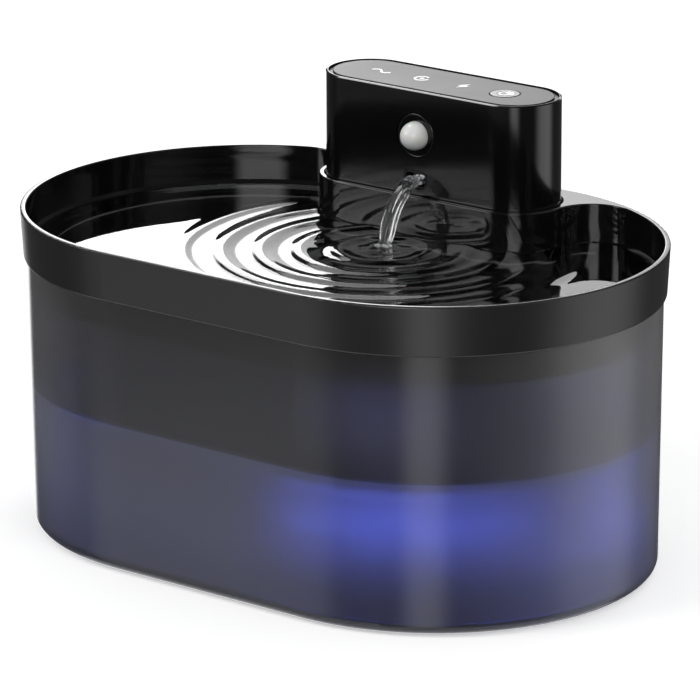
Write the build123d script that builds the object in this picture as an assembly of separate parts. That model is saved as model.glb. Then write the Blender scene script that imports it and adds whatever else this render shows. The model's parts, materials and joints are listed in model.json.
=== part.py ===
from build123d import *
import os
from math import cos, hypot, radians, sin, sqrt

# Pet water fountain: a see-through tank, a drinking tray that sits on it, and a head that stands in the
# tray's pocket with the pump hanging under it in the tank.
# Millimetres. Z is up, X runs along the long side, and the spout faces -Y. The origin is on the table,
# under the middle of the fountain.

# ---------------------------------------------------------------------------------- body outline
# Seen from above, the body is a stadium: straight sides joined by half circles.
body_length = 230.0
body_width = 152.0
rim_height = 110.0          # top of the tray's rim above the table
band_height = 16.7          # outer band of the tray, above the tank
band_draft = 0.9            # each side of the band comes in by this towards its bottom
seam_step = 1.0             # the tank stands back from the band by this on each side

# ---------------------------------------------------------------------------------- tank
tank_wall = 2.0
tank_floor = 2.4
tank_draft = 0.8            # each side of the tank comes in by this towards its base
tank_base_radius = 3.5
foot_stand = 0.6            # feet lift the tank's base by this
foot_radius = 7.0
foot_recess = 0.8
foot_inset = 16.0           # from the edge of the base to a foot's centre
fence_height = 2.0          # low fence on the floor round the pump's foot
fence_wall = 1.2

# ---------------------------------------------------------------------------------- tray
rim_wall = 2.0
tray_wall = 2.2
tray_floor = 2.2
tray_fit = 0.4              # clearance between the skirt and the tank's inner wall
skirt_depth = 10.6          # how far the skirt reaches down into the tank
skirt_edge_radius = 1.5
basin_step_drop = 12.2      # from the rim down to the top of the sloping step in the basin
basin_floor_radius = 3.5
rim_edge_radius = 0.5
band_edge_radius = 0.8      # along the band's bottom edge
water_drop = 13.6           # from the rim down to the overflow, which sets the water line
pocket_fit = 0.4            # clearance round the head
pocket_wall = 2.0
pocket_back_web = 0.75      # deck between the pocket's wall and the rim's wall at the back
deck_blend_radius = 14.0    # concave corners between the pocket and the rim
deck_thickness = 2.2
pocket_edge_chamfer = 0.5
pocket_step = 1.4           # the pocket's lower part is narrower by this on each side
lip_height = 5.1            # raised edge of the pump's passage, which carries the head
lip_wall = 1.8
passage_fit = 0.6           # clearance round the pump as it is lifted through
slot_count = 3              # overflow slots in the left end of the pocket
slot_width = 2.6
slot_height = 5.0
slot_pitch_angle = 15.0
slot_turn = 20.0            # the slots' middle is turned from the left end towards the front by this
drain_count = 5
drain_radius = 1.6
drain_circle_inset = 5.1    # from the pocket's end wall to the drains' centres
drain_pitch_angle = 25.0

# ---------------------------------------------------------------------------------- filter
cassette_length = 26.0
cassette_width = 27.0
cassette_height = 15.0
cassette_wall = 1.5
cassette_corner = 5.0
cassette_centre_x = -43.0
cassette_drop = 0.3         # gap between the tray's underside and the cassette's top
cassette_tank_gap = 1.0     # least clearance to the tank's inner wall
spigot_height = 5.0
spigot_wall = 1.4
spigot_fit = 0.3
grid_slots = 5
grid_slot_width = 2.0
cotton_thickness = 3.6
filter_fit = 0.2

# ---------------------------------------------------------------------------------- head casing
head_length = 91.2
head_width = 30.4
head_rise = 35.8            # top of the head above the rim
shell_wall = 2.2
shell_drop = 3.5            # the shell's lower edge is this far below the rim
shell_edge_slope = 0.6      # width of the sloping edge round the head's top
shell_edge_height = 0.35
panel_margin = 0.8          # thickness of the shell's edge round the panel
panel_gap = 0.25
panel_thickness = 1.35
panel_sink = 0.1            # the panel lies this far under the shell's top edge
panel_chamfer = 0.15
groove_width = 1.65         # dark line round the panel, between the shell's edge and the plate
groove_depth = 0.7
ledge_height = 1.3
ledge_width = 2.0
seal_height = 1.2
base_flange_height = 2.0
base_flange_inset = 0.4
base_inset = 2.5            # the base stands back from the pocket's wall by this and the fit
base_wall = 1.6
base_floor = 2.4
spigot_rise = 4.0           # the base's ring that centres the shell
casing_fit = 0.3
screw_radius = 1.3
screw_head_radius = 2.5
screw_head_height = 1.6
screw_inset = 7.6           # from the end of the shell to a screw's axis
screw_boss_wall = 1.9
screw_bite = 8.0            # how far a screw goes into the shell's boss
fastener_fit = 0.2

# ---------------------------------------------------------------------------------- controls
button_inset = 19.8         # from the head's end to the button's centre
window_radius = 3.0
window_thickness = 0.9
button_radius = 5.1
button_gap = 0.3
button_rise = 0.1
button_travel = 0.8
button_flange = 1.1
button_flange_height = 0.8
button_stem_radius = 1.5
board_thickness = 1.2
board_gap = 1.0
board_drop = 4.45           # from the panel's underside down to the board's top
board_ledge = 1.6
switch_size = 6.0
switch_height = 2.4
led_length = 3.0
led_width = 1.6
led_height = 0.8

# ---------------------------------------------------------------------------------- motion sensor
sensor_drop = 15.4          # from the head's top down to the sensor's axis
lens_radius = 4.8
lens_wall = 0.7
lens_skirt = 1.65
lens_flange = 0.9
lens_flange_thickness = 0.8
bezel_radius = 7.8
bezel_depth = 1.2
bezel_sink = 0.05
bezel_bead = 0.4            # radius of the rounded lip round the bezel
sensor_fit = 0.15
sensor_can_radius = 3.7
sensor_can_length = 4.2
sensor_board_size = 13.0
small_board_thickness = 1.0
sensor_boss_wall = 1.2

# ---------------------------------------------------------------------------------- water way
spout_rise = 5.3            # from the rim up to the spout's axis
spout_length = 10.0
spout_height = 6.2
spout_corner = 2.2
nozzle_fit = 0.2
nozzle_wall = 0.6
nozzle_flange = 1.6
nozzle_flange_thickness = 1.0
nozzle_mouth_depth = 4.2
duct_bore = 2.7
duct_wall = 1.3
duct_bend = 7.0
duct_fit = 0.1
socket_wall = 1.0
socket_depth = 3.2
base_socket_height = 7.6
o_ring_thickness = 0.9
o_ring_height = 1.2         # height of the ring's groove
spigot_length = 8.0
barb_wall = 1.1
riser_wall = 1.25
riser_end_gap = 0.4

# ---------------------------------------------------------------------------------- power
cell_radius = 9.15
cell_length = 65.0
cell_terminal_radius = 3.0
cell_terminal_height = 1.4
cell_rise = 19.3            # from the rim up to the cell's axis
cell_fit = 0.25
cell_back_gap = 0.5
saddle_width = 6.0
saddle_spacing = 48.0
saddle_wall = 1.2
rail_thickness = 2.2
rail_height = 3.0
port_rise = 6.0             # from the rim up to the socket's axis
port_width = 8.94
port_height = 3.2
port_depth = 7.3
port_wall = 0.3
port_tongue_width = 6.6
port_tongue_thickness = 0.7
port_tongue_recess = 2.6
port_sink = 0.9
port_fit = 0.15
port_board_width = 15.0
port_board_depth = 6.6
port_board_gap = 0.1
flap_width = 14.6
flap_height = 8.6
flap_thickness = 0.8
flap_corner = 2.0
flap_plug_width = 6.6
flap_plug_height = 1.2
flap_plug_length = 1.2
flap_fit = 0.3

# ---------------------------------------------------------------------------------- pump
pump_floor_gap = 0.4        # between the pump's pads and the tank's floor
pump_width = 21.0
pump_left = 27.0            # from the riser's axis to the motor end
pump_face = 4.2             # from the riser's axis to the chamber's open face
pump_corner = 3.5
pump_top_radius = 1.2
motor_axis_drop = 11.5      # from the top of the pump down to the motor's axis
pump_height = 23.1
rotor_bore = 6.2
rotor_bore_end = 21.5       # from the riser's axis to the closed end of the rotor's bore
sleeve_wall = 1.0
stator_outer = 9.2
stator_fit = 0.15
stator_length = 17.0
end_cap_thickness = 2.0
end_cap_rim = 0.4
chamber_radius = 8.0
chamber_depth = 7.0
cover_radius = 9.2
cover_thickness = 2.3
intake_radius = 5.0
spoke_width = 1.2
spoke_count = 3
shaft_radius = 1.0
shaft_fit = 0.05
shaft_seat = 2.0
shaft_hub = 2.1
seal_width = 0.9
seal_depth = 0.8
blade_count = 6
blade_thickness = 0.9
blade_height = 4.6
blade_sweep = 38.0
impeller_radius = 7.4
impeller_plate = 1.0
hub_radius = 2.2
magnet_radius = 5.5
magnet_length = 15.5
magnet_fit = 0.05
strainer_reach = 12.4       # from the chamber's open face to the cap's far face
strainer_wall = 1.0
strainer_slot = 1.4
strainer_slots = 5
strainer_fit = 0.1
sponge_fit = 0.3
diffuser_height = 4.2
diffuser_wall = 1.4
diffuser_inset = 1.0
pad_radius = 2.0
pad_height = 0.8
pad_inset = 3.4
light_board_thickness = 0.8
light_board_inset = 3.2
light_led_size = 2.8
light_led_count = 3
conduit_x = -16.0
conduit_offset = 7.6        # the conduit stands this far in front of the riser
conduit_radius = 2.0
conduit_wall = 0.6
lead_radius = 1.2
gland_depth = 3.2
gland_fit = 0.1
grommet_wall = 1.4
grommet_height = 2.0

# ---------------------------------------------------------------------------------- heights and outlines
band_bottom = rim_height - band_height
tank_top = band_bottom
tank_top_inset = band_draft + seam_step
tank_floor_top = foot_stand + tank_floor
tank_inner_top_inset = tank_top_inset + tank_wall
skirt_inset = tank_inner_top_inset + tray_fit
tray_bottom = band_bottom - skirt_depth
basin_floor = tray_bottom + tray_floor
basin_inset = skirt_inset + tray_wall
water_level = rim_height - water_drop
end_centre_x = (body_length - body_width) / 2

pocket_length = head_length + 2 * pocket_fit
pocket_width = head_width + 2 * pocket_fit
collar_length = pocket_length + 2 * pocket_wall
collar_width = pocket_width + 2 * pocket_wall
head_y = body_width / 2 - rim_wall - pocket_back_web - collar_width / 2
lip_top = basin_floor + lip_height

head_top = rim_height + head_rise
shell_bottom = rim_height - shell_drop
flange_top = shell_bottom - seal_height
flange_bottom = flange_top - base_flange_height
base_length = pocket_length - 2 * (pocket_fit + base_inset)
base_width = pocket_width - 2 * (pocket_fit + base_inset)
base_floor_top = lip_top + base_floor
cavity_length = head_length - 2 * shell_wall
cavity_width = head_width - 2 * shell_wall
front_y = head_y - head_width / 2
back_y = head_y + head_width / 2
inner_front_y = front_y + shell_wall
inner_back_y = back_y - shell_wall

panel_top = head_top - panel_sink
panel_bottom = panel_top - panel_thickness
ledge_bottom = panel_bottom - ledge_height
board_top = panel_bottom - board_drop
board_bottom = board_top - board_thickness
button_x = head_length / 2 - button_inset
icon_x = [-button_x, -button_x / 3, button_x / 3]
screw_x = head_length / 2 - screw_inset

sensor_z = head_top - sensor_drop
spout_z = rim_height + spout_rise
duct_radius = duct_bore + duct_wall
barb_radius = duct_bore + barb_wall
cell_y = inner_back_y - cell_back_gap - cell_radius
cell_z = rim_height + cell_rise
port_z = rim_height + port_rise

pads_bottom = tank_floor_top + pump_floor_gap
diffuser_bottom = pads_bottom + pad_height
pump_bottom = diffuser_bottom + diffuser_height
pump_top = pump_bottom + pump_height
motor_z = pump_top - motor_axis_drop
pump_right = pump_face + strainer_reach
conduit_y = head_y - conduit_offset


# ---------------------------------------------------------------------------------- small builders
def stadium(length, width, z=0.0, x=0.0, y=0.0):
    """Flat racetrack outline at height z."""
    return Pos(x, y, z) * SlotOverall(length, width)


def column(length, width, z0, z1, x=0.0, y=0.0):
    """Upright racetrack block from z0 to z1."""
    return extrude(stadium(length, width, z0, x, y), z1 - z0)


def body_taper(z0, inset0, z1, inset1):
    """Body outline, brought in by inset0 at z0 and by inset1 at z1."""
    low = stadium(body_length - 2 * inset0, body_width - 2 * inset0, z0)
    high = stadium(body_length - 2 * inset1, body_width - 2 * inset1, z1)
    return loft([low, high], ruled=True)


def disc(radius, z0, z1, x=0.0, y=0.0):
    """Upright cylinder from z0 to z1."""
    return Pos(x, y, z0) * extrude(Circle(radius), z1 - z0)


def block(x0, x1, y0, y1, z0, z1):
    """Box between two corners."""
    size = (x1 - x0, y1 - y0, z1 - z0)
    return Pos((x0 + x1) / 2, (y0 + y1) / 2, (z0 + z1) / 2) * Box(*size)


def rounded_block(x0, x1, y0, y1, z0, z1, corner):
    """Box whose upright edges are rounded."""
    outline = Pos((x0 + x1) / 2, (y0 + y1) / 2, z0) * RectangleRounded(x1 - x0, y1 - y0, corner)
    return extrude(outline, z1 - z0)


def rod_x(radius, x0, x1, y, z):
    """Cylinder along X."""
    return extrude(Plane(origin=(x0, y, z), z_dir=(1, 0, 0)) * Circle(radius), x1 - x0)


def rod_y(radius, y0, y1, x, z):
    """Cylinder along Y."""
    return extrude(Plane(origin=(x, y0, z), x_dir=(1, 0, 0), z_dir=(0, 1, 0)) * Circle(radius), y1 - y0)


def plate_y(outline, y0, y1, x, z):
    """Outline drawn in X and Z, as a plate from y0 to y1."""
    return extrude(Plane(origin=(x, y0, z), x_dir=(1, 0, 0), z_dir=(0, 1, 0)) * outline, y1 - y0)


def bottom_edges(part):
    """Edges that lie in the lowest plane of a part."""
    return part.edges().group_by(Axis.Z)[0]


def top_edges(part):
    """Edges that lie in the highest plane of a part."""
    return part.edges().group_by(Axis.Z)[-1]


# ---------------------------------------------------------------------------------- tank
def foot_places():
    """Centres of the four feet, on the arcs at the body's ends."""
    reach = body_width / 2 - tank_top_inset - tank_draft - foot_inset
    x = end_centre_x + reach * cos(radians(45))
    y = reach * sin(radians(45))
    return [(x, y), (-x, y), (x, -y), (-x, -y)]


def tank_cavity_inset(z):
    """Inset of the tank's inner wall at height z."""
    return tank_inner_top_inset + tank_draft * (tank_top - z) / (tank_top - foot_stand)


def water_tank():
    """Shell with draft, a rounded base, foot recesses and the fence that locates the pump's foot."""
    outer = body_taper(foot_stand, tank_top_inset + tank_draft, tank_top, tank_top_inset)
    outer = fillet(bottom_edges(outer), tank_base_radius)
    inside = body_taper(tank_floor_top, tank_cavity_inset(tank_floor_top), tank_top, tank_inner_top_inset)
    inside = fillet(bottom_edges(inside), tank_base_radius - tank_wall / 2)
    tank = outer - inside
    for x, y in foot_places():
        tank -= disc(foot_radius, foot_stand, foot_stand + foot_recess, x, y)
    reach = diffuser_inset - passage_fit
    half = pump_width / 2 - reach
    fence = [-pump_left + reach, pump_face - reach, head_y - half, head_y + half]
    grown = [fence[0] - fence_wall, fence[1] + fence_wall, fence[2] - fence_wall, fence[3] + fence_wall]
    fence_top = tank_floor_top + fence_height
    ring = rounded_block(*grown, tank_floor_top, fence_top, pump_corner + fence_wall)
    return tank + (ring - rounded_block(*fence, tank_floor_top, fence_top, pump_corner))


def tank_feet():
    """Four round pads seated in the tank's recesses."""
    pads = []
    for x, y in foot_places():
        pad = disc(foot_radius - fastener_fit, 0, foot_stand + foot_recess, x, y)
        pads.append(fillet(bottom_edges(pad), foot_stand / 2))
    return pads


# ---------------------------------------------------------------------------------- tray
def blend_centre():
    """Centre of the round corner that joins the collar's right end to the rim's inner wall."""
    collar_radius = collar_width / 2
    collar_x = (collar_length - collar_width) / 2
    rim_radius = body_width / 2 - rim_wall
    from_collar = collar_radius + deck_blend_radius
    from_rim = rim_radius - deck_blend_radius
    straight_x = collar_x + sqrt(from_collar ** 2 - (from_rim - head_y) ** 2)
    if straight_x <= end_centre_x:
        return straight_x, from_rim
    # the corner touches the rim on its end arc: two circles meet
    dx = end_centre_x - collar_x
    dy = -head_y
    gap = hypot(dx, dy)
    along = (from_collar ** 2 - from_rim ** 2 + gap ** 2) / (2 * gap)
    across = sqrt(from_collar ** 2 - along ** 2)
    x = collar_x + (along * dx - across * dy) / gap
    y = head_y + (along * dy + across * dx) / gap
    return x, y


def deck_corner():
    """Flat outline of the deck's right corner, from the collar round to the rim."""
    cx, cy = blend_centre()
    ax, ay = (collar_length - collar_width) / 2, head_y
    bx = min(cx, end_centre_x)
    to_collar = Vector(ax - cx, ay - cy).normalized()
    to_rim = Vector(cx - bx, cy).normalized()
    centre = Vector(cx, cy)
    start = centre + to_collar * deck_blend_radius
    middle = centre + (to_collar + to_rim).normalized() * deck_blend_radius
    end = centre + to_rim * deck_blend_radius
    outside = end + to_rim * (2 * rim_wall)
    back = Vector(0, body_width)
    outline = [
        Line(Vector(0, head_y), Vector(ax, ay)),
        Line(Vector(ax, ay), start),
        ThreePointArc(start, middle, end),
        Line(end, outside),
        Line(outside, back),
        Line(back, Vector(0, head_y)),
    ]
    return make_face(outline)


def deck_block(z0, z1):
    """Collar, deck and round corners as one solid block, out to the middle of the rim's wall."""
    corner = deck_corner()
    flat = stadium(collar_length, collar_width, 0, 0, head_y) + corner + mirror(corner, about=Plane.YZ)
    flat = flat & stadium(body_length - rim_wall, body_width - rim_wall)
    return extrude(Pos(0, 0, z0) * flat, z1 - z0)


def coring_outline(inset):
    """Flat outline of the hollows under both deck corners, kept inside the body by inset."""
    cx, cy = blend_centre()
    x0 = (collar_length - collar_width) / 2 + pocket_wall
    flat = Pos((x0 + cx) / 2, body_width / 4 + cy / 2) * Rectangle(cx - x0, body_width / 2 - cy)
    flat &= stadium(body_length - 2 * inset, body_width - 2 * inset)
    flat -= Pos(cx, cy) * Circle(deck_blend_radius + pocket_wall)
    flat -= stadium(collar_length, collar_width, 0, 0, head_y)
    return flat + mirror(flat, about=Plane.YZ)


def deck_coring():
    """Hollows under the deck's two corners, which keep its walls even."""
    upper_bottom = band_bottom + tray_wall
    lower = extrude(Pos(0, 0, tray_bottom) * coring_outline(basin_inset), upper_bottom - tray_bottom)
    upper_top = rim_height - deck_thickness
    upper = extrude(Pos(0, 0, upper_bottom) * coring_outline(rim_wall + band_draft), upper_top - upper_bottom)
    return lower + upper


def basin_cavity():
    """Space over the basin's floor: skirt, sloping step and rim, round the collar."""
    step_top = rim_height - basin_step_drop
    step_bottom = step_top - (basin_inset - rim_wall)
    cavity = body_taper(basin_floor, basin_inset, step_bottom, basin_inset)
    cavity += body_taper(step_bottom, basin_inset, step_top, rim_wall)
    cavity += body_taper(step_top, rim_wall, rim_height, rim_wall)
    cavity -= deck_block(basin_floor, rim_height)
    return fillet(bottom_edges(cavity), basin_floor_radius)


def passage(z0, z1, grow=0.0):
    """Opening that the pump is lifted through, grown by a wall where asked."""
    reach_x = max(pump_left, pump_right) + passage_fit + grow
    reach_y = pump_width / 2 + passage_fit + grow
    return rounded_block(-reach_x, reach_x, head_y - reach_y, head_y + reach_y, z0, z1, pump_corner + grow)


def overflow_slots():
    """Upright slots through the collar's left end. Their sills set the water line."""
    arc_x = -(pocket_length - pocket_width) / 2
    reach = collar_width / 2
    slots = []
    for i in range(slot_count):
        angle = 180 + slot_turn + (i - (slot_count - 1) / 2) * slot_pitch_angle
        slot = block(reach - 2 * pocket_wall, reach + pocket_wall, -slot_width / 2, slot_width / 2,
                     water_level, water_level + slot_height)
        slots.append(Pos(arc_x, head_y, 0) * Rot(0, 0, angle) * slot)
    return slots


def drain_holes():
    """Holes in the pocket's floor over the filter."""
    arc_x = -(pocket_length - pocket_width) / 2
    reach = pocket_width / 2 - drain_circle_inset
    holes = []
    for i in range(drain_count):
        angle = radians(180 + (i - (drain_count - 1) / 2) * drain_pitch_angle)
        x, y = arc_x + reach * cos(angle), head_y + reach * sin(angle)
        holes.append(disc(drain_radius, tray_bottom, basin_floor, x, y))
    return holes


def filter_box(inset, z0, z1):
    """Rounded block on the cassette's outline, brought in by inset. It follows the tank's wall at one end."""
    half_x = cassette_length / 2 - inset
    half_y = cassette_width / 2 - inset
    corner = cassette_corner - inset
    plan = rounded_block(cassette_centre_x - half_x, cassette_centre_x + half_x,
                         head_y - half_y, head_y + half_y, z0, z1, corner)
    wall = tank_cavity_inset(cassette_bottom) + cassette_tank_gap + inset
    return plan & column(body_length - 2 * wall, body_width - 2 * wall, z0, z1)


def drinking_tray():
    """One moulding: band, skirt, basin, deck, collar with its pocket, passage, overflow and filter spigot."""
    band = body_taper(band_bottom, band_draft, rim_height, 0)
    band = fillet(bottom_edges(band), band_edge_radius)
    skirt = body_taper(tray_bottom, skirt_inset, band_bottom, skirt_inset)
    skirt = fillet(bottom_edges(skirt), skirt_edge_radius)
    tray = band + skirt - basin_cavity()
    tray = fillet(top_edges(tray), rim_edge_radius)
    ledge = band_bottom + tray_wall
    pocket = column(pocket_length, pocket_width, ledge, rim_height, 0, head_y)
    step = 2 * pocket_step
    pocket += column(pocket_length - step, pocket_width - step, basin_floor, ledge, 0, head_y)
    flare = pocket_edge_chamfer
    wide = stadium(pocket_length + 2 * flare, pocket_width + 2 * flare, rim_height, 0, head_y)
    narrow = stadium(pocket_length, pocket_width, rim_height - flare, 0, head_y)
    tray -= pocket + loft([narrow, wide], ruled=True)
    tray += passage(basin_floor, lip_top, lip_wall) - passage(basin_floor, lip_top)
    tray -= passage(tray_bottom, lip_top)
    tray -= deck_coring()
    for cut in overflow_slots() + drain_holes():
        tray -= cut
    inset = cassette_wall + spigot_fit
    spigot_bottom = tray_bottom - spigot_height
    spigot = filter_box(inset, spigot_bottom, tray_bottom)
    return tray + (spigot - filter_box(inset + spigot_wall, spigot_bottom, tray_bottom))


# ---------------------------------------------------------------------------------- filter
cassette_top = tray_bottom - cassette_drop
cassette_bottom = cassette_top - cassette_height
carbon_bottom = cassette_bottom + cassette_wall
cotton_top = tray_bottom - spigot_height - filter_fit
cotton_bottom = cotton_top - cotton_thickness


def filter_cassette():
    """Open-topped box with a slotted floor."""
    box = filter_box(0, cassette_bottom, cassette_top)
    box -= filter_box(cassette_wall, carbon_bottom, cassette_top)
    pitch = (cassette_length - 2 * cassette_corner) / grid_slots
    reach = cassette_width / 2 - cassette_corner
    for i in range(grid_slots):
        x = cassette_centre_x + (i - (grid_slots - 1) / 2) * pitch
        box -= block(x - grid_slot_width / 2, x + grid_slot_width / 2,
                     head_y - reach, head_y + reach, cassette_bottom, carbon_bottom)
    return box


def filter_cotton():
    """Upper pad of the filter."""
    return filter_box(cassette_wall + filter_fit, cotton_bottom, cotton_top)


def filter_carbon():
    """Lower carbon layer of the filter."""
    return filter_box(cassette_wall + filter_fit, carbon_bottom, cotton_bottom - filter_fit)


# ---------------------------------------------------------------------------------- head casing
def head_shell():
    """Upper casing: walls, panel ledge, sensor seat, spout and socket openings, bosses inside."""
    shoulder = head_top - shell_edge_height
    shell = column(head_length, head_width, shell_bottom, shoulder, 0, head_y)
    slope = 2 * shell_edge_slope
    full = stadium(head_length, head_width, shoulder, 0, head_y)
    shell += loft([full, stadium(head_length - slope, head_width - slope, head_top, 0, head_y)], ruled=True)
    shell -= column(cavity_length, cavity_width, shell_bottom, ledge_bottom, 0, head_y)
    ledge = 2 * (panel_margin + ledge_width)
    shell -= column(head_length - ledge, head_width - ledge, ledge_bottom, panel_bottom, 0, head_y)
    margin = 2 * panel_margin
    shell -= column(head_length - margin, head_width - margin, panel_bottom, head_top, 0, head_y)
    shell += board_ledges()
    for side in (-1, 1):
        shell += screw_boss(side)
    boss_radius = lens_radius + lens_flange + sensor_fit + sensor_boss_wall
    boss_end = front_y + bezel_depth + sensor_stack
    shell += rod_y(boss_radius, inner_front_y, boss_end, 0, sensor_z)
    shell -= rod_y(bezel_radius, front_y, front_y + bezel_depth, 0, sensor_z)
    shell -= rod_y(lens_radius + lens_flange + sensor_fit, front_y, boss_end, 0, sensor_z)
    shell -= plate_y(RectangleRounded(spout_length, spout_height, spout_corner),
                     front_y, inner_front_y, 0, spout_z)
    shell -= plate_y(RectangleRounded(port_width + 2 * port_fit, port_height + 2 * port_fit, port_height / 2),
                     inner_back_y, back_y, 0, port_z)
    shell -= plate_y(RectangleRounded(flap_width + 2 * flap_fit, flap_height + 2 * flap_fit, flap_corner),
                     back_y - flap_thickness - port_fit, back_y, 0, port_z)
    return shell + port_ribs()


def board_ledges():
    """Crescent ledges at both ends of the shell, which carry the main board."""
    ring = column(cavity_length, cavity_width, board_bottom - ledge_height, board_bottom, 0, head_y)
    reach = cavity_length / 2 - board_gap - 2 * board_ledge
    ring -= block(-reach, reach, inner_front_y, inner_back_y, board_bottom - ledge_height, board_bottom)
    shrink = 2 * (board_gap + board_ledge)
    return ring - column(cavity_length - shrink, cavity_width - shrink,
                         board_bottom - ledge_height, board_bottom, 0, head_y)


def screw_boss(side):
    """Boss and rib for one screw, on the end wall that side points to."""
    x = side * screw_x
    radius = screw_radius + screw_boss_wall
    top = flange_top + spigot_rise + casing_fit + screw_bite
    boss = disc(radius, shell_bottom, top, x, head_y)
    wall_x = side * cavity_length / 2
    rib_bottom = flange_top + spigot_rise + casing_fit
    half = screw_radius
    boss += block(min(x, wall_x), max(x, wall_x), head_y - half, head_y + half, rib_bottom, top)
    return boss - disc(screw_radius, shell_bottom, top - screw_boss_wall, x, head_y)


def port_ribs():
    """Two ribs on the shell's back wall, under the charging board."""
    top = port_z - port_height / 2 - port_board_gap - small_board_thickness
    low = flange_top + spigot_rise + casing_fit
    ribs = []
    for side in (-1, 1):
        x = side * (port_board_width / 2 - shell_wall / 2)
        ribs.append(block(x - shell_wall / 4, x + shell_wall / 4, inner_back_y - port_board_depth / 2,
                          inner_back_y, low, top))
    return ribs


def head_base():
    """Lower casing: stands on the passage's lip and carries the riser, the conduit and the shell."""
    base = column(base_length, base_width, lip_top, flange_bottom, 0, head_y)
    flange_shrink = 2 * base_flange_inset
    base += column(head_length - flange_shrink, head_width - flange_shrink,
                   flange_bottom, flange_top, 0, head_y)
    spigot_length_x = cavity_length - 2 * casing_fit
    spigot_width_y = cavity_width - 2 * casing_fit
    spigot_top = flange_top + spigot_rise
    base += column(spigot_length_x, spigot_width_y, flange_top, spigot_top, 0, head_y)
    base -= column(base_length - 2 * base_wall, base_width - 2 * base_wall,
                   base_floor_top, flange_top, 0, head_y)
    wall = 2 * base_wall
    base -= column(spigot_length_x - wall, spigot_width_y - wall, flange_top, spigot_top, 0, head_y)
    for side in (-1, 1):
        x = side * screw_x
        base += disc(screw_head_radius + screw_boss_wall - 2 * fastener_fit, lip_top, flange_top, x, head_y)
    for side in (-1, 1):
        x = side * screw_x
        base -= disc(screw_head_radius + fastener_fit, lip_top, screw_head_top, x, head_y)
        base -= disc(screw_radius + fastener_fit, lip_top, flange_top, x, head_y)
    base += disc(duct_radius + duct_fit + o_ring_thickness + socket_wall, base_floor_top,
                 base_floor_top + base_socket_height, 0, head_y)
    base += disc(barb_radius, lip_top - spigot_length, lip_top, 0, head_y)
    base -= disc(duct_bore, lip_top - spigot_length, base_floor_top + socket_wall, 0, head_y)
    base -= disc(duct_radius + duct_fit, base_floor_top + socket_wall,
                 base_floor_top + base_socket_height, 0, head_y)
    base -= disc(duct_radius + duct_fit + o_ring_thickness, o_ring_bottom, o_ring_top, 0, head_y)
    return base - disc(conduit_radius + gland_fit, lip_top, base_floor_top, conduit_x, conduit_y)


screw_head_top = flange_top - screw_boss_wall
screw_head_bottom = screw_head_top - screw_head_height
o_ring_bottom = base_floor_top + base_socket_height - 2 * o_ring_height
o_ring_top = o_ring_bottom + o_ring_height


def base_seal():
    """Flat silicone ring between the base's flange and the shell."""
    ring = column(head_length - 2 * base_flange_inset, head_width - 2 * base_flange_inset,
                  flange_top, shell_bottom, 0, head_y)
    return ring - column(cavity_length, cavity_width, flange_top, shell_bottom, 0, head_y)


def base_screws():
    """Two pan-head screws, driven from below through the base into the shell's bosses."""
    screws = []
    for side in (-1, 1):
        x = side * screw_x
        screw = disc(screw_head_radius, screw_head_bottom, screw_head_top, x, head_y)
        screw = fillet(bottom_edges(screw), screw_head_height / 3)
        screw -= block(x - screw_radius, x + screw_radius, head_y - fastener_fit, head_y + fastener_fit,
                       screw_head_bottom, screw_head_bottom + screw_head_height / 2)
        shank_top = shell_bottom + screw_bite
        screw += disc(screw_radius - fastener_fit / 4, screw_head_top, shank_top, x, head_y)
        screws.append(screw)
    return screws


# ---------------------------------------------------------------------------------- controls
def top_panel():
    """Plate with a rebated edge, the button's hole and three seats for the windows in its underside."""
    groove_bottom = panel_top - groove_depth
    inset = 2 * (panel_margin + groove_width)
    panel = column(head_length - inset, head_width - inset, groove_bottom, panel_top, 0, head_y)
    panel = chamfer(top_edges(panel), panel_chamfer)
    inset = 2 * (panel_margin + panel_gap)
    panel += column(head_length - inset, head_width - inset, panel_bottom, groove_bottom, 0, head_y)
    panel -= disc(button_radius + button_gap, panel_bottom, panel_top, button_x, head_y)
    for x in icon_x:
        panel -= disc(window_radius + fastener_fit, panel_bottom, panel_bottom + window_thickness, x, head_y)
    return panel


def status_windows():
    """Three round windows with light pipes that reach down to the LEDs."""
    windows = []
    for x in icon_x:
        window = disc(window_radius, panel_bottom, panel_bottom + window_thickness, x, head_y)
        pipe = Pos(x, head_y, led_top) * loft([Circle(led_width), Pos(0, 0, panel_bottom - led_top)
                                               * Circle(window_radius - fastener_fit)], ruled=True)
        windows.append(window + pipe)
    return windows


def power_button():
    """Round button with a slightly dished top, a flange that the panel holds down, and a stem."""
    top = panel_top + button_rise
    flange_top_z = panel_bottom - casing_fit / 3
    flange_low = flange_top_z - button_flange_height
    button = disc(button_radius, flange_low, top, button_x, head_y)
    button = fillet(top_edges(button), button_gap)
    button += disc(button_radius + button_flange, flange_low, flange_top_z, button_x, head_y)
    stem_bottom = board_top + switch_height + button_travel + casing_fit / 3
    button += disc(button_stem_radius, stem_bottom, flange_low, button_x, head_y)
    dish = button_radius * 6
    ball = Pos(button_x, head_y, top + dish - button_gap / 2) * Sphere(dish)
    return button - ball


def main_board():
    """Circuit board under the panel."""
    shrink = 2 * board_gap
    board = column(cavity_length - shrink, cavity_width - shrink, board_bottom, board_top, 0, head_y)
    return board - disc(lead_radius + gland_fit, board_bottom, board_top, conduit_x, conduit_y)


def button_switch():
    """Square switch with a round plunger."""
    half = switch_size / 2
    body = block(button_x - half, button_x + half, head_y - half, head_y + half,
                 board_top, board_top + 2 * switch_height / 3)
    return body + disc(button_stem_radius, board_top, board_top + switch_height, button_x, head_y)


led_top = board_top + led_height + fastener_fit


def status_leds():
    """Three small LEDs under the light pipes."""
    return [block(x - led_length / 2, x + led_length / 2, head_y - led_width / 2, head_y + led_width / 2,
                  board_top, board_top + led_height) for x in icon_x]


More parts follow.
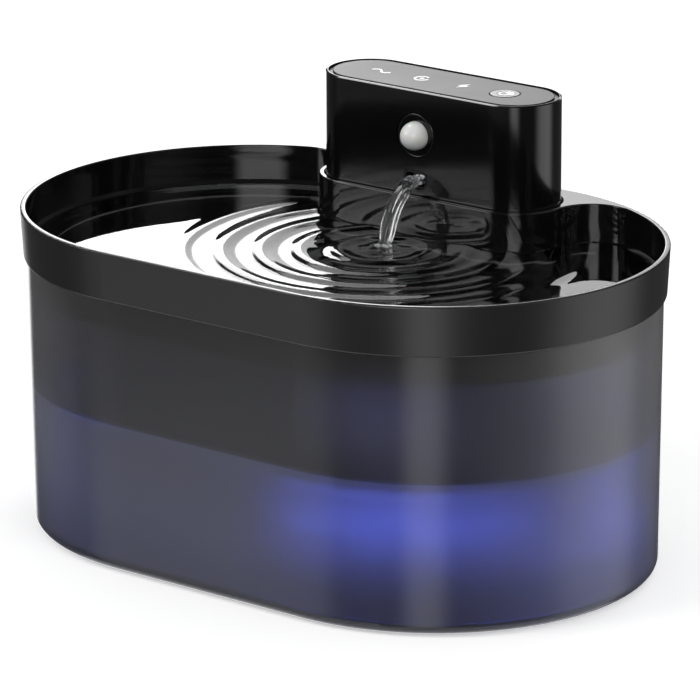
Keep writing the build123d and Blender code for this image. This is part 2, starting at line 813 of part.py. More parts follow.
# ---------------------------------------------------------------------------------- motion sensor
lens_seat = front_y + bezel_depth
can_front = lens_seat + lens_flange_thickness - lens_skirt
sensor_stack = can_front + sensor_can_length - lens_seat


def sensor_bezel():
    """Flat recessed ring round the lens, with a rounded lip."""
    hole = lens_radius + sensor_fit
    outer = bezel_radius - sensor_fit
    near = front_y + bezel_sink
    shoulder = near + bezel_bead
    inner = outer - 2 * bezel_bead
    profile = [
        Polyline((inner, shoulder), (hole, shoulder), (hole, lens_seat), (outer, lens_seat), (outer, shoulder)),
        ThreePointArc((outer, shoulder), (outer - bezel_bead, near), (inner, shoulder)),
    ]
    ring = revolve(make_face(profile), Axis.Y)
    return Pos(0, 0, sensor_z) * ring


def sensor_lens():
    """White dome with a short skirt and a flange that the bezel holds."""
    skirt_front = lens_seat - lens_skirt
    dome = Pos(0, skirt_front, sensor_z) * Sphere(lens_radius)
    dome -= Pos(0, skirt_front, sensor_z) * Sphere(lens_radius - lens_wall)
    behind = lens_seat + lens_flange_thickness
    reach = 2 * lens_radius
    dome &= block(-reach, reach, skirt_front - reach, skirt_front, sensor_z - reach, sensor_z + reach)
    dome += rod_y(lens_radius, skirt_front, behind, 0, sensor_z)
    dome += rod_y(lens_radius + lens_flange, lens_seat, behind, 0, sensor_z)
    return dome - rod_y(lens_radius - lens_wall, skirt_front, behind, 0, sensor_z)


def motion_sensor():
    """Sensor can that looks out through the dome."""
    can = rod_y(sensor_can_radius, can_front, can_front + sensor_can_length, 0, sensor_z)
    return fillet(can.edges().group_by(Axis.Y)[0], sensor_can_radius / 6)


def sensor_board():
    """Square board behind the sensor, against the boss on the shell."""
    behind = can_front + sensor_can_length
    corner = sensor_board_size / 10
    return plate_y(RectangleRounded(sensor_board_size, sensor_board_size, corner),
                   behind, behind + small_board_thickness, 0, sensor_z)


# ---------------------------------------------------------------------------------- water way
duct_end = front_y + nozzle_mouth_depth + socket_wall
socket_end = duct_end + socket_depth


def spout_nozzle():
    """Insert that changes the duct's round bore to the spout's flat one."""
    length = spout_length - 2 * nozzle_fit
    height = spout_height - 2 * nozzle_fit
    corner = spout_corner - nozzle_fit
    inner = (length - 2 * nozzle_wall, height - 2 * nozzle_wall, corner - nozzle_wall)
    mouth_end = front_y + nozzle_mouth_depth
    nozzle = plate_y(RectangleRounded(length, height, corner), front_y, mouth_end, 0, spout_z)
    flange_size = (length + 2 * nozzle_flange, height + 2 * nozzle_flange, spout_corner)
    nozzle += plate_y(RectangleRounded(*flange_size), inner_front_y,
                      inner_front_y + nozzle_flange_thickness, 0, spout_z)
    socket = duct_radius + duct_fit + socket_wall
    nozzle += rod_y(socket, mouth_end, socket_end, 0, spout_z)
    nozzle -= plate_y(RectangleRounded(*inner), front_y, mouth_end, 0, spout_z)
    nozzle -= rod_y(duct_bore, mouth_end - socket_wall, duct_end, 0, spout_z)
    return nozzle - rod_y(duct_radius + duct_fit, duct_end, socket_end, 0, spout_z)


def spout_duct():
    """Elbow tube from the base's socket to the nozzle."""
    foot = base_floor_top + socket_wall + duct_fit
    path = FilletPolyline((0, head_y, foot), (0, head_y, spout_z), (0, duct_end, spout_z), radius=duct_bend)
    ring = Pos(0, head_y, foot) * (Circle(duct_radius) - Circle(duct_bore))
    return sweep(ring, path=path)


def duct_o_ring():
    """O-ring in the groove of the base's socket."""
    centre_radius = duct_radius + (duct_fit + o_ring_thickness) / 2
    middle = (o_ring_bottom + o_ring_top) / 2
    cord = Plane.XZ * Pos(centre_radius, middle) * Circle(o_ring_thickness / 2)
    return Pos(0, head_y, 0) * revolve(cord, Axis.Z)


def riser_tube():
    """Tube pushed over the pump's outlet and over the base's spigot."""
    inner = barb_radius + duct_fit / 2
    low = pump_top + riser_end_gap
    high = lip_top - riser_end_gap
    tube = disc(inner + riser_wall, low, high, 0, head_y)
    return tube - disc(inner, low, high, 0, head_y)


# ---------------------------------------------------------------------------------- power
def battery_cell():
    """Cylindrical cell lying along the head, with its raised terminal."""
    half = cell_length / 2
    cell = rod_x(cell_radius, -half, half - cell_terminal_height, cell_y, cell_z)
    cell = fillet(cell.edges().filter_by(GeomType.CIRCLE), cell_terminal_height / 2)
    return cell + rod_x(cell_terminal_radius, half - cell_terminal_height, half, cell_y, cell_z)


def battery_cradle():
    """Two saddles under the cell, joined by a rail along the shell's back wall."""
    saddle_bottom = cell_z - cell_radius - cell_fit - saddle_wall
    front = cell_y - cell_radius * sin(radians(60))
    cradle = block(-saddle_spacing / 2, saddle_spacing / 2, inner_back_y - rail_thickness,
                   inner_back_y, saddle_bottom, saddle_bottom + rail_height)
    for side in (-1, 1):
        x = side * saddle_spacing / 2
        cradle += block(x - saddle_width / 2, x + saddle_width / 2, front, inner_back_y,
                        saddle_bottom, cell_z - cell_radius / 2)
    half = cell_length / 2
    return cradle - rod_x(cell_radius + cell_fit, -half, half, cell_y, cell_z)


port_front = back_y - port_sink
port_back = port_front - port_depth
board_under_port = port_z - port_height / 2 - port_board_gap


def charging_socket():
    """Oval metal receptacle with its tongue, closed at the inner end."""
    outline = RectangleRounded(port_width, port_height, port_height / 2.01)
    corner = (port_height - 2 * port_wall) / 2.01
    hollow = RectangleRounded(port_width - 2 * port_wall, port_height - 2 * port_wall, corner)
    socket = plate_y(outline, port_back, port_front, 0, port_z)
    socket -= plate_y(hollow, port_back + port_sink, port_front, 0, port_z)
    tongue = Rectangle(port_tongue_width, port_tongue_thickness)
    return socket + plate_y(tongue, port_back, port_front - port_tongue_recess, 0, port_z)


def charging_board():
    """Small board under the receptacle, on the shell's two ribs."""
    half = port_board_width / 2
    return block(-half, half, inner_back_y - port_board_depth, inner_back_y - casing_fit,
                 board_under_port - small_board_thickness, board_under_port)


def socket_flap():
    """Silicone flap with a short plug, hinged along its lower edge."""
    plate = plate_y(RectangleRounded(flap_width, flap_height, flap_corner), back_y - flap_thickness,
                    back_y, 0, port_z)
    plug_front = back_y - flap_thickness - flap_plug_length
    corner = flap_plug_height / 3
    return plate + plate_y(RectangleRounded(flap_plug_width, flap_plug_height, corner),
                           plug_front, back_y - flap_thickness, 0, port_z)


# ---------------------------------------------------------------------------------- pump
def pump_block(x0, x1, z0, z1):
    """Block on the pump's outline, with its upright corners rounded."""
    half = pump_width / 2
    return rounded_block(x0, x1, head_y - half, head_y + half, z0, z1, pump_corner)


def pump_envelope():
    """Outline of the housing and the cap together, with the top edge rounded over."""
    envelope = pump_block(-pump_left, pump_right, pump_bottom, pump_top)
    return fillet(top_edges(envelope), pump_top_radius)


def pump_housing():
    """Motor block: rotor's bore, potted space for the stator, chamber, outlet and lead gland."""
    half = pump_width
    keep = block(-2 * pump_left, pump_face, head_y - half, head_y + half, pump_bottom, pump_top)
    housing = pump_envelope() & keep
    housing += disc(barb_radius, pump_top - pump_top_radius, pump_top + spigot_length, 0, head_y)
    chamber_left = pump_face - chamber_depth
    housing -= rod_x(chamber_radius, chamber_left, pump_face, head_y, motor_z)
    housing -= rod_x(rotor_bore, -rotor_bore_end, pump_face, head_y, motor_z)
    housing -= rod_x(shaft_radius + shaft_fit, -rotor_bore_end - shaft_seat, pump_face, head_y, motor_z)
    housing -= disc(duct_bore, motor_z, pump_top + spigot_length, 0, head_y)
    cap_inner = -pump_left + end_cap_thickness
    stator_space = rod_x(stator_outer + stator_fit, cap_inner, stator_right + stator_fit, head_y, motor_z)
    stator_space -= rod_x(rotor_bore + sleeve_wall, cap_inner, stator_right + stator_fit, head_y, motor_z)
    housing -= stator_space
    housing -= rod_x(stator_outer + stator_fit + end_cap_rim, -pump_left, cap_inner, head_y, motor_z)
    groove = rod_x(chamber_radius + fastener_fit + seal_width, pump_face - seal_depth, pump_face,
                   head_y, motor_z)
    housing -= groove
    housing -= light_recess()
    return housing - disc(conduit_radius + gland_fit, pump_top - gland_depth, pump_top,
                          conduit_x, conduit_y)


stator_left = -pump_left + end_cap_thickness + stator_fit
stator_right = stator_left + stator_length


def motor_stator():
    """Coil ring round the rotor's sleeve."""
    inner = rotor_bore + sleeve_wall + stator_fit
    return (rod_x(stator_outer, stator_left, stator_right, head_y, motor_z)
            - rod_x(inner, stator_left, stator_right, head_y, motor_z))


def pump_end_cap():
    """Disc that closes the motor end."""
    radius = stator_outer + end_cap_rim
    cap = rod_x(radius, -pump_left, -pump_left + end_cap_thickness, head_y, motor_z)
    return chamfer(cap.edges().group_by(Axis.X)[0], end_cap_rim)


def volute_cover():
    """Plate over the chamber, with the intake hole and a spider that holds the shaft."""
    far = pump_face + cover_thickness
    cover = rod_x(cover_radius, pump_face, far, head_y, motor_z)
    cover -= rod_x(intake_radius, pump_face, far, head_y, motor_z)
    for i in range(spoke_count):
        spoke = block(pump_face, far, 0, intake_radius + spoke_width, -spoke_width / 2, spoke_width / 2)
        cover += Pos(0, head_y, motor_z) * Rot(i * 360 / spoke_count, 0, 0) * spoke
    cover += rod_x(shaft_hub, pump_face, far, head_y, motor_z)
    return cover - rod_x(shaft_radius + shaft_fit, pump_face, far, head_y, motor_z)


def volute_seal():
    """Ring in the groove round the chamber."""
    outer = chamber_radius + fastener_fit + seal_width
    return (rod_x(outer - fastener_fit / 2, pump_face - seal_depth, pump_face, head_y, motor_z)
            - rod_x(chamber_radius + fastener_fit, pump_face - seal_depth, pump_face, head_y, motor_z))


def impeller_shaft():
    """Fixed ceramic shaft from the housing's seat to the cover's hub."""
    return rod_x(shaft_radius, -rotor_bore_end - shaft_seat, pump_face + cover_thickness, head_y, motor_z)


impeller_back = pump_face - chamber_depth + casing_fit * 2


def impeller():
    """Back plate with curved blades, hub and the sleeve that carries the magnet."""
    plate_front = impeller_back + impeller_plate
    blade_front = plate_front + blade_height
    wheel = rod_x(impeller_radius, impeller_back, plate_front, head_y, motor_z)
    wheel += rod_x(hub_radius, -rotor_bore_end + casing_fit, blade_front, head_y, motor_z)
    inner = Vector(hub_radius - blade_thickness / 2, 0)
    tip_radius = impeller_radius - blade_thickness / 4
    tip = Vector(tip_radius * cos(radians(blade_sweep)), tip_radius * sin(radians(blade_sweep)))
    middle_radius = (hub_radius + impeller_radius) / 2
    middle = Vector(middle_radius, 0).rotate(Axis.Z, blade_sweep / 2)
    line = ThreePointArc(inner, middle, tip)
    start = line.position_at(0)
    root = Plane(origin=(start.X, start.Y, 0), x_dir=(0, 0, 1), z_dir=line.tangent_at(0))
    flat = root * Rectangle(blade_height, blade_thickness)
    blade = sweep(flat, path=line)
    stand = Plane(origin=(plate_front + blade_height / 2, head_y, motor_z), x_dir=(0, 1, 0),
                  z_dir=(1, 0, 0))
    for i in range(blade_count):
        wheel += stand.location * Rot(0, 0, i * 360 / blade_count) * blade
    return wheel - rod_x(shaft_radius + shaft_fit, -rotor_bore_end, pump_face, head_y, motor_z)


def rotor_magnet():
    """Ring magnet on the impeller's sleeve."""
    right = impeller_back - casing_fit
    left = right - magnet_length
    ring = rod_x(magnet_radius, left, right, head_y, motor_z)
    return ring - rod_x(hub_radius + magnet_fit, left, right, head_y, motor_z)


def strainer_cap():
    """Slotted cap over the intake, pulled off along X."""
    reach = pump_width
    near = pump_face + strainer_fit
    keep = block(near, 2 * pump_right, head_y - reach, head_y + reach, pump_bottom, pump_top)
    cap = pump_envelope() & keep
    half = pump_width / 2 - strainer_wall
    inside = rounded_block(near - pump_corner, pump_right - strainer_wall, head_y - half, head_y + half,
                           pump_bottom + strainer_wall, pump_top - strainer_wall,
                           pump_corner - strainer_wall)
    cap -= inside
    slot_top = pump_top - pump_top_radius - strainer_wall
    slot_low = pump_bottom + pump_top_radius + strainer_wall
    pitch = (pump_width - 2 * pump_corner) / strainer_slots
    for i in range(strainer_slots):
        y = head_y + (i - (strainer_slots - 1) / 2) * pitch
        cap -= block(pump_right - 2 * strainer_wall, pump_right, y - strainer_slot / 2,
                     y + strainer_slot / 2, slot_low, slot_top)
    side_pitch = (strainer_reach - pump_corner - cover_thickness) / 3
    for i in range(2):
        x = pump_face + cover_thickness + (i + 1) * side_pitch
        cap -= block(x - strainer_slot / 2, x + strainer_slot / 2, head_y - reach, head_y + reach,
                     slot_low, slot_top)
    return cap


def intake_sponge():
    """Sponge disc between the cover and the cap's far wall."""
    near = pump_face + cover_thickness + sponge_fit
    far = pump_right - strainer_wall - sponge_fit
    return rod_x(chamber_radius, near, far, head_y, motor_z)


def light_plate(inset, z0, z1):
    """Block under the housing, brought in from its outline by inset."""
    half = pump_width / 2 - inset
    return rounded_block(-pump_left + inset, pump_face - inset, head_y - half, head_y + half, z0, z1,
                         pump_corner)


def light_recess():
    """Recess in the housing's underside for the light board."""
    return light_plate(light_board_inset - fastener_fit, pump_bottom,
                       pump_bottom + light_board_thickness + fastener_fit / 2)


def light_board():
    """Board with blue LEDs that face down into the diffuser."""
    board = light_plate(light_board_inset, pump_bottom, pump_bottom + light_board_thickness)
    pitch = (pump_left + pump_face - 2 * light_board_inset) / light_led_count
    half = light_led_size / 2
    middle = (pump_face - pump_left) / 2
    for i in range(light_led_count):
        x = middle + (i - (light_led_count - 1) / 2) * pitch
        board += block(x - half, x + half, head_y - half, head_y + half,
                       pump_bottom - light_board_thickness, pump_bottom)
    return board


def light_diffuser():
    """Translucent foot, hollow under the LEDs."""
    foot = light_plate(diffuser_inset, diffuser_bottom, pump_bottom)
    foot = fillet(bottom_edges(foot), diffuser_wall / 2)
    return foot - light_plate(diffuser_inset + diffuser_wall, diffuser_bottom + diffuser_wall, pump_bottom)


def pump_pads():
    """Four small silicone pads under the diffuser."""
    half = pump_width / 2 - pad_inset
    pads = []
    for x in (-pump_left + pad_inset, pump_face - pad_inset):
        for y in (head_y - half, head_y + half):
            pads.append(disc(pad_radius, pads_bottom, diffuser_bottom, x, y))
    return pads


# ---------------------------------------------------------------------------------- pump lead
conduit_bottom = pump_top - gland_depth + gland_fit
conduit_top = base_floor_top + grommet_height


def cable_conduit():
    """Sleeve round the lead, from the pump's gland up into the base."""
    sleeve = disc(conduit_radius, conduit_bottom, conduit_top, conduit_x, conduit_y)
    return sleeve - disc(conduit_radius - conduit_wall, conduit_bottom, conduit_top, conduit_x, conduit_y)


def pump_lead():
    """Lead from the pump up through the conduit to the main board."""
    return disc(lead_radius, conduit_bottom, board_top, conduit_x, conduit_y)


def lead_grommet():
    """Silicone ring that seals the conduit on the base's floor."""
    ring = disc(conduit_radius + grommet_wall, base_floor_top, conduit_top, conduit_x, conduit_y)
    return ring - disc(conduit_radius + gland_fit / 2, base_floor_top, conduit_top, conduit_x, conduit_y)


# ---------------------------------------------------------------------------------- all pieces
pieces = [
    water_tank, tank_feet, drinking_tray,
    filter_cassette, filter_cotton, filter_carbon,
    head_shell, head_base, base_seal, base_screws,
    top_panel, status_windows, power_button, button_switch, main_board, status_leds,
    sensor_bezel, sensor_lens, motion_sensor, sensor_board,
    spout_nozzle, spout_duct, duct_o_ring, riser_tube,
    battery_cell, battery_cradle, charging_socket, charging_board, socket_flap,
    pump_housing, pump_end_cap, motor_stator, volute_cover, volute_seal,
    impeller_shaft, impeller, rotor_magnet, strainer_cap, intake_sponge,
    light_board, light_diffuser, pump_pads,
    cable_conduit, pump_lead, lead_grommet,
]

os.makedirs("parts", exist_ok=True)
for piece in pieces:
    made = piece()
    if isinstance(made, list):
        made = Compound(children=[solid for one in made for solid in one.solids()])
    export_step(made, f"parts/{piece.__name__}.step")
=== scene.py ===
import json
import math

import bmesh
import bpy
from mathutils import Matrix, Vector, noise


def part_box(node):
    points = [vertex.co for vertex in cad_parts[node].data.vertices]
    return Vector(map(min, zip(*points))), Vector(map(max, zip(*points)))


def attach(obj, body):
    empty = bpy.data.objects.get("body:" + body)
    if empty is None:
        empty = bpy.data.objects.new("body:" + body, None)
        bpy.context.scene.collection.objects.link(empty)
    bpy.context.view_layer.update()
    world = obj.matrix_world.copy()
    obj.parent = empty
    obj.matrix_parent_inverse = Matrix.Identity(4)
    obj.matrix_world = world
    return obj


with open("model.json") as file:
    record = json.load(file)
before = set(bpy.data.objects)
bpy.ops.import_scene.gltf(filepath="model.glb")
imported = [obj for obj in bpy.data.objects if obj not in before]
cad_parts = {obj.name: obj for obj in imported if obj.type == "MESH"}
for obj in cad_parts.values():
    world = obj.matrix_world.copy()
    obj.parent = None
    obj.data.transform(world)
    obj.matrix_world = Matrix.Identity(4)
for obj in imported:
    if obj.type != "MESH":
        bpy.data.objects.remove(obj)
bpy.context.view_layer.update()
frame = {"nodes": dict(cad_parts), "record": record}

NODES = frame["nodes"]
MM = 0.001

# Plan values of the fountain, in millimetres.
END_X = 39.0
BODY_R = 76.0
RIM_R = 74.0
STEP_R, STEP_LOW = 69.5, 93.3
HEAD_Y = 55.65
COLLAR_X, COLLAR_R = 30.4, 17.6
BLEND_X, BLEND_Y, BLEND_R = 62.0, 55.42, 14.0
BLEND_ANGLES = (67.5, 179.6)
BASIN_LEVEL = 96.7
TANK_FLOOR = 3.0
TANK_LEVEL = 51.0
TANK_TOP, TANK_FOOT = 93.3, 0.6
TANK_WALL, TANK_DRAFT = 3.9, 0.8
PANEL_TOP = 145.7

# The rings in the basin: their middle, one crest's radius, the distance between crests and where they end.
LANDING = (3.2, 18.6)
RING_CREST, RING_PITCH = 27.5, 13.2
RING_END = 69.0

# Places of the painted blue glow, on the tank's water and high on the tank wall, each with its reach, in
# millimetres.
GLOW_CENTRE, GLOW_REACH = (76.0, -63.0, 38.5), (62.0, 62.0, 17.0)
WALL_GLOW_CENTRE, WALL_GLOW_REACH = (69.0, -66.0, 70.0), (42.0, 42.0, 24.0)

# The panel's symbols, from left to right.
WAVE_X, LOOP_X, BOLT_X, POWER_X = -25.8, -8.6, 8.6, 25.8
PRINT_THICK = 0.05


# ------------------------------------------------------------------------------ node graphs
class Graph:
    """Short names for the nodes of one material or world."""

    def __init__(self, tree):
        self.tree = tree
        tree.nodes.clear()
        self.count = 0

    def node(self, kind, inputs=None, **values):
        n = self.tree.nodes.new(kind)
        n.location = (220 * (self.count % 12), -260 * (self.count // 12))
        self.count += 1
        for k, v in values.items():
            setattr(n, k, v)
        for k, v in (inputs or {}).items():
            self.put(n.inputs[k], v)
        return n

    def put(self, socket, value):
        if isinstance(value, bpy.types.NodeSocket):
            self.tree.links.new(value, socket)
        else:
            socket.default_value = value

    def math(self, op, a, b=0.0, c=0.0, clamp=False):
        n = self.node("ShaderNodeMath", operation=op, use_clamp=clamp)
        for socket, value in zip(n.inputs, (a, b, c)):
            self.put(socket, value)
        return n.outputs[0]

    def step(self, value, low, high):
        """0 below low, 1 above high, smooth between. Low may be the larger."""
        n = self.node("ShaderNodeMapRange", interpolation_type="SMOOTHSTEP")
        for key, v in (("Value", value), ("From Min", low), ("From Max", high)):
            self.put(n.inputs[key], v)
        return n.outputs[0]

    def mix(self, factor, a, b):
        n = self.node("ShaderNodeMix", data_type="RGBA")
        self.put(n.inputs[0], factor)
        self.put(n.inputs[6], a)
        self.put(n.inputs[7], b)
        return n.outputs[2]

    def blend(self, factor, a, b):
        n = self.node("ShaderNodeMix", data_type="FLOAT")
        self.put(n.inputs[0], factor)
        self.put(n.inputs[2], a)
        self.put(n.inputs[3], b)
        return n.outputs[0]

    def place(self):
        return self.node("ShaderNodeTexCoord").outputs["Object"]

    def axes(self, vector):
        n = self.node("ShaderNodeSeparateXYZ", {0: vector})
        return n.outputs[0], n.outputs[1], n.outputs[2]

    def stretched(self, vector, sx, sy, sz):
        return self.node("ShaderNodeMapping", {"Vector": vector, "Scale": (sx, sy, sz)}).outputs[0]

    def noise(self, vector, scale, detail=3.0, rough=0.5):
        inputs = {"Vector": vector, "Scale": scale, "Detail": detail, "Roughness": rough}
        return self.node("ShaderNodeTexNoise", inputs).outputs[0]

    def cells(self, vector, scale):
        return self.node("ShaderNodeTexVoronoi", {"Vector": vector, "Scale": scale}).outputs["Distance"]

    def bump(self, height, strength, distance):
        inputs = {"Height": height, "Strength": strength, "Distance": distance * MM}
        return self.node("ShaderNodeBump", inputs).outputs[0]

    def nearness(self, vector, centre, reach):
        """1 at a place in millimetres, falling to 0 at an ellipsoid round it."""
        middle = [c * MM for c in centre]
        away = self.node("ShaderNodeVectorMath", {0: vector, 1: middle}, operation="SUBTRACT")
        stretch = [1 / (r * MM) for r in reach]
        scaled = self.node("ShaderNodeVectorMath", {0: away.outputs[0], 1: stretch}, operation="MULTIPLY")
        length = self.node("ShaderNodeVectorMath", {0: scaled.outputs[0]}, operation="LENGTH")
        return self.step(length.outputs["Value"], 1.0, 0.0)

    def body_radius(self, x, y):
        """Distance in metres from the racetrack's middle line."""
        over = self.math("MAXIMUM", self.math("SUBTRACT", self.math("ABSOLUTE", x), END_X * MM), 0.0)
        flat = self.math("MULTIPLY", over, over)
        side = self.math("MULTIPLY", y, y)
        return self.math("SQRT", self.math("ADD", flat, side))


def surface(name, constants):
    """A material with one Principled shader, its graph and its shader."""
    m = bpy.data.materials.new(name)
    m.use_nodes = True
    g = Graph(m.node_tree)
    shader = g.node("ShaderNodeBsdfPrincipled")
    out = g.node("ShaderNodeOutputMaterial")
    g.tree.links.new(shader.outputs[0], out.inputs["Surface"])
    for key, value in constants.items():
        g.put(shader.inputs[key], value)
    return m, g, shader


def moulded(name, colour, rough, vary=0.12, grain=900.0, strength=0.12, depth=0.02):
    """Moulded material: slow change of tone, a fine surface grain and slightly uneven gloss."""
    m, g, s = surface(name, {})
    p = g.place()
    slow = g.noise(p, 90.0, 4.0, 0.6)
    fine = g.noise(p, grain, 2.0, 0.5)
    dark = tuple(c * (1 - vary) for c in colour[:3]) + (1.0,)
    light = tuple(min(1.0, c * (1 + vary)) for c in colour[:3]) + (1.0,)
    g.put(s.inputs["Base Color"], g.mix(slow, dark, light))
    uneven = g.math("MULTIPLY_ADD", g.math("SUBTRACT", slow, 0.5), 0.10, rough)
    g.put(s.inputs["Roughness"], g.math("MAXIMUM", uneven, 0.02))
    g.put(s.inputs["Normal"], g.bump(fine, strength, depth))
    return m


# ------------------------------------------------------------------------------ the object's materials
def tank_material():
    """Smoky see-through plastic, frosted under a smooth skin, with a wet zone up to the water line. Its tone
    is painted light and shade: lighter towards the back, at the left end and at the far right end, lighter
    and bluer below the water line, darker near the bottom, with a faint painted blue glow high on the wall.
    """
    m, g, s = surface("smoky_clear", {"IOR": 1.25, "Transmission Weight": 0.86, "Coat Weight": 1.0,
                                      "Coat Roughness": 0.13, "Coat IOR": 1.4})
    p = g.place()
    x, y, z = g.axes(p)
    slow = g.noise(p, 26.0, 3.0, 0.5)
    frost = g.noise(p, 2400.0, 2.0, 0.6)
    tone = g.math("MULTIPLY_ADD", g.math("SUBTRACT", slow, 0.5), 0.10, 1.0)
    wet = g.step(z, (TANK_LEVEL + 0.5) * MM, (TANK_LEVEL - 0.3) * MM)
    # Painted light: the wall's tone is lighter towards the back, at the left end of the front and at the far
    # right end.
    painted_lighter_back = g.step(y, -62 * MM, 5 * MM)
    painted_lighter_left = g.math("MULTIPLY", g.step(x, -28 * MM, -75 * MM), g.step(y, 20 * MM, -20 * MM))
    right = g.math("MULTIPLY", g.step(x, 86 * MM, 106 * MM), 0.06)
    # Painted light: below the water line the tone is lighter than above it.
    dry_value = g.math("MULTIPLY_ADD", painted_lighter_left, 0.14, g.math("MULTIPLY_ADD", painted_lighter_back, 0.28, 0.08))
    wet_value = g.math("MULTIPLY_ADD", painted_lighter_left, 0.16, g.math("MULTIPLY_ADD", painted_lighter_back, 0.22, 0.20))
    # Painted shade: below the water line the wall is darker near the bottom.
    low = g.blend(g.step(z, 4 * MM, 28 * MM), 0.75, 1.0)
    value = g.math("ADD", g.blend(wet, dry_value, g.math("MULTIPLY", wet_value, low)), right)
    # Painted blue light: below the water line the wall is bluer, bluest near the bottom.
    blue = g.mix(g.step(z, 4 * MM, 40 * MM), (0.82, 0.85, 1.22, 1.0), (0.94, 0.96, 1.13, 1.0))
    tint = g.mix(wet, (1.0, 1.0, 1.02, 1.0), blue)
    toned = g.node("ShaderNodeVectorMath", {0: tint}, operation="SCALE")
    g.put(toned.inputs["Scale"], g.math("MULTIPLY", value, tone))
    g.put(s.inputs["Base Color"], toned.outputs[0])
    g.put(s.inputs["Roughness"], g.math("MULTIPLY_ADD", g.math("SUBTRACT", slow, 0.5), 0.06, 0.60))
    g.put(s.inputs["Normal"], g.bump(frost, 0.10, 0.010))
    # Painted blue glow on the wall above the water line: emission, though the wall is no lamp.
    haze = g.nearness(p, WALL_GLOW_CENTRE, WALL_GLOW_REACH)
    g.put(s.inputs["Emission Color"], (0.42, 0.44, 1.0, 1.0))
    g.put(s.inputs["Emission Strength"], g.math("MULTIPLY", haze, 0.035))
    return m


def tray_material():
    """Black plastic: satin on the outer band, polished everywhere inside."""
    m, g, s = surface("black_gloss_tray", {"IOR": 1.5})
    p = g.place()
    x, y, z = g.axes(p)
    r = g.body_radius(x, y)
    band = g.step(r, (RIM_R + 0.75) * MM, (RIM_R + 1.15) * MM)
    slow = g.noise(p, 40.0, 3.0, 0.5)
    fine = g.noise(p, 3000.0, 2.0, 0.6)
    inside = g.mix(slow, (0.0035, 0.0035, 0.0035, 1), (0.0055, 0.0055, 0.0055, 1))
    outside = g.mix(slow, (0.008, 0.008, 0.0078, 1), (0.011, 0.011, 0.0107, 1))
    g.put(s.inputs["Base Color"], g.mix(band, inside, outside))
    smear = g.math("MULTIPLY", g.math("SUBTRACT", slow, 0.5), 0.04)
    g.put(s.inputs["Roughness"], g.math("ADD", g.blend(band, 0.075, 0.30), smear))
    g.put(s.inputs["Normal"], g.bump(fine, g.math("MULTIPLY_ADD", band, 0.10, 0.01), 0.010))
    return m


def shell_material():
    """Polished black casing with a faint polishing haze."""
    m, g, s = surface("black_gloss_shell", {"IOR": 1.5})
    p = g.place()
    slow = g.noise(p, 60.0, 3.0, 0.5)
    haze = g.noise(g.stretched(p, 1.0, 1.0, 0.15), 700.0, 3.0, 0.6)
    g.put(s.inputs["Base Color"], g.mix(slow, (0.0028, 0.0028, 0.0028, 1), (0.0045, 0.0045, 0.0045, 1)))
    g.put(s.inputs["Roughness"], g.math("MULTIPLY_ADD", haze, 0.05, 0.10))
    g.put(s.inputs["Normal"], g.bump(haze, 0.006, 0.01))
    return m


def panel_material():
    """Black panel under a hard matt coat."""
    m, g, s = surface("panel_gloss", {"IOR": 1.3})
    p = g.place()
    slow = g.noise(p, 55.0, 3.0, 0.5)
    fine = g.noise(p, 4200.0, 2.0, 0.7)
    g.put(s.inputs["Base Color"], g.mix(slow, (0.012, 0.012, 0.012, 1), (0.020, 0.020, 0.020, 1)))
    g.put(s.inputs["Roughness"], g.math("MULTIPLY_ADD", slow, 0.06, 0.33))
    g.put(s.inputs["Normal"], g.bump(fine, 0.12, 0.006))
    return m


def lens_material():
    """Milky dome of the motion sensor, with faint facets of the lens array inside."""
    m, g, s = surface("white_lens", {"IOR": 1.49, "Subsurface Weight": 0.25, "Subsurface Scale": 0.001})
    p = g.place()
    array = g.cells(g.stretched(p, 1.0, 0.4, 1.0), 620.0)
    slow = g.noise(p, 300.0, 2.0, 0.5)
    tone = g.math("MULTIPLY_ADD", array, 0.12, 0.90, clamp=True)
    g.put(s.inputs["Base Color"], g.mix(tone, (0.72, 0.72, 0.70, 1), (0.88, 0.88, 0.86, 1)))
    g.put(s.inputs["Roughness"], g.math("MULTIPLY_ADD", slow, 0.10, 0.24))
    g.put(s.inputs["Normal"], g.bump(array, 0.10, 0.03))
    return m


def window_material():
    """Milky light guide."""
    m, g, s = surface("light_window", {"IOR": 1.49, "Transmission Weight": 0.2})
    p = g.place()
    slow = g.noise(p, 500.0, 2.0, 0.5)
    g.put(s.inputs["Base Color"], g.mix(slow, (0.70, 0.76, 0.84, 1), (0.82, 0.87, 0.93, 1)))
    g.put(s.inputs["Roughness"], g.math("MULTIPLY_ADD", slow, 0.2, 0.35))
    return m


def diffuser_material():
    """Milky foot of the pump, lit blue from inside, unevenly as over separate LEDs."""
    m, g, s = surface("blue_diffuser", {"IOR": 1.49, "Roughness": 0.5})
    p = g.place()
    slow = g.noise(p, 240.0, 2.0, 0.5)
    spots = g.cells(p, 110.0)
    g.put(s.inputs["Base Color"], g.mix(slow, (0.55, 0.62, 0.85, 1), (0.68, 0.75, 0.92, 1)))
    g.put(s.inputs["Emission Color"], g.mix(slow, (0.10, 0.16, 1.0, 1), (0.20, 0.28, 1.0, 1)))
    g.put(s.inputs["Emission Strength"], g.math("MULTIPLY_ADD", spots, -6.0, 16.0))
    return m


def board_material():
    """Green solder mask with lighter tracks and tinned dots."""
    m, g, s = surface("circuit_board", {"IOR": 1.5})
    p = g.place()
    brick = g.node("ShaderNodeTexBrick", {"Vector": p, "Scale": 260.0, "Mortar Size": 0.012})
    tracks = g.math("SUBTRACT", 1.0, brick.outputs["Fac"])
    dots = g.step(g.cells(p, 380.0), 0.16, 0.12)
    mask = g.mix(tracks, (0.020, 0.110, 0.045, 1), (0.012, 0.075, 0.030, 1))
    g.put(s.inputs["Base Color"], g.mix(dots, mask, (0.62, 0.62, 0.60, 1)))
    g.put(s.inputs["Metallic"], dots)
    g.put(s.inputs["Roughness"], g.blend(dots, 0.38, 0.30))
    g.put(s.inputs["Normal"], g.bump(tracks, 0.2, 0.03))
    return m


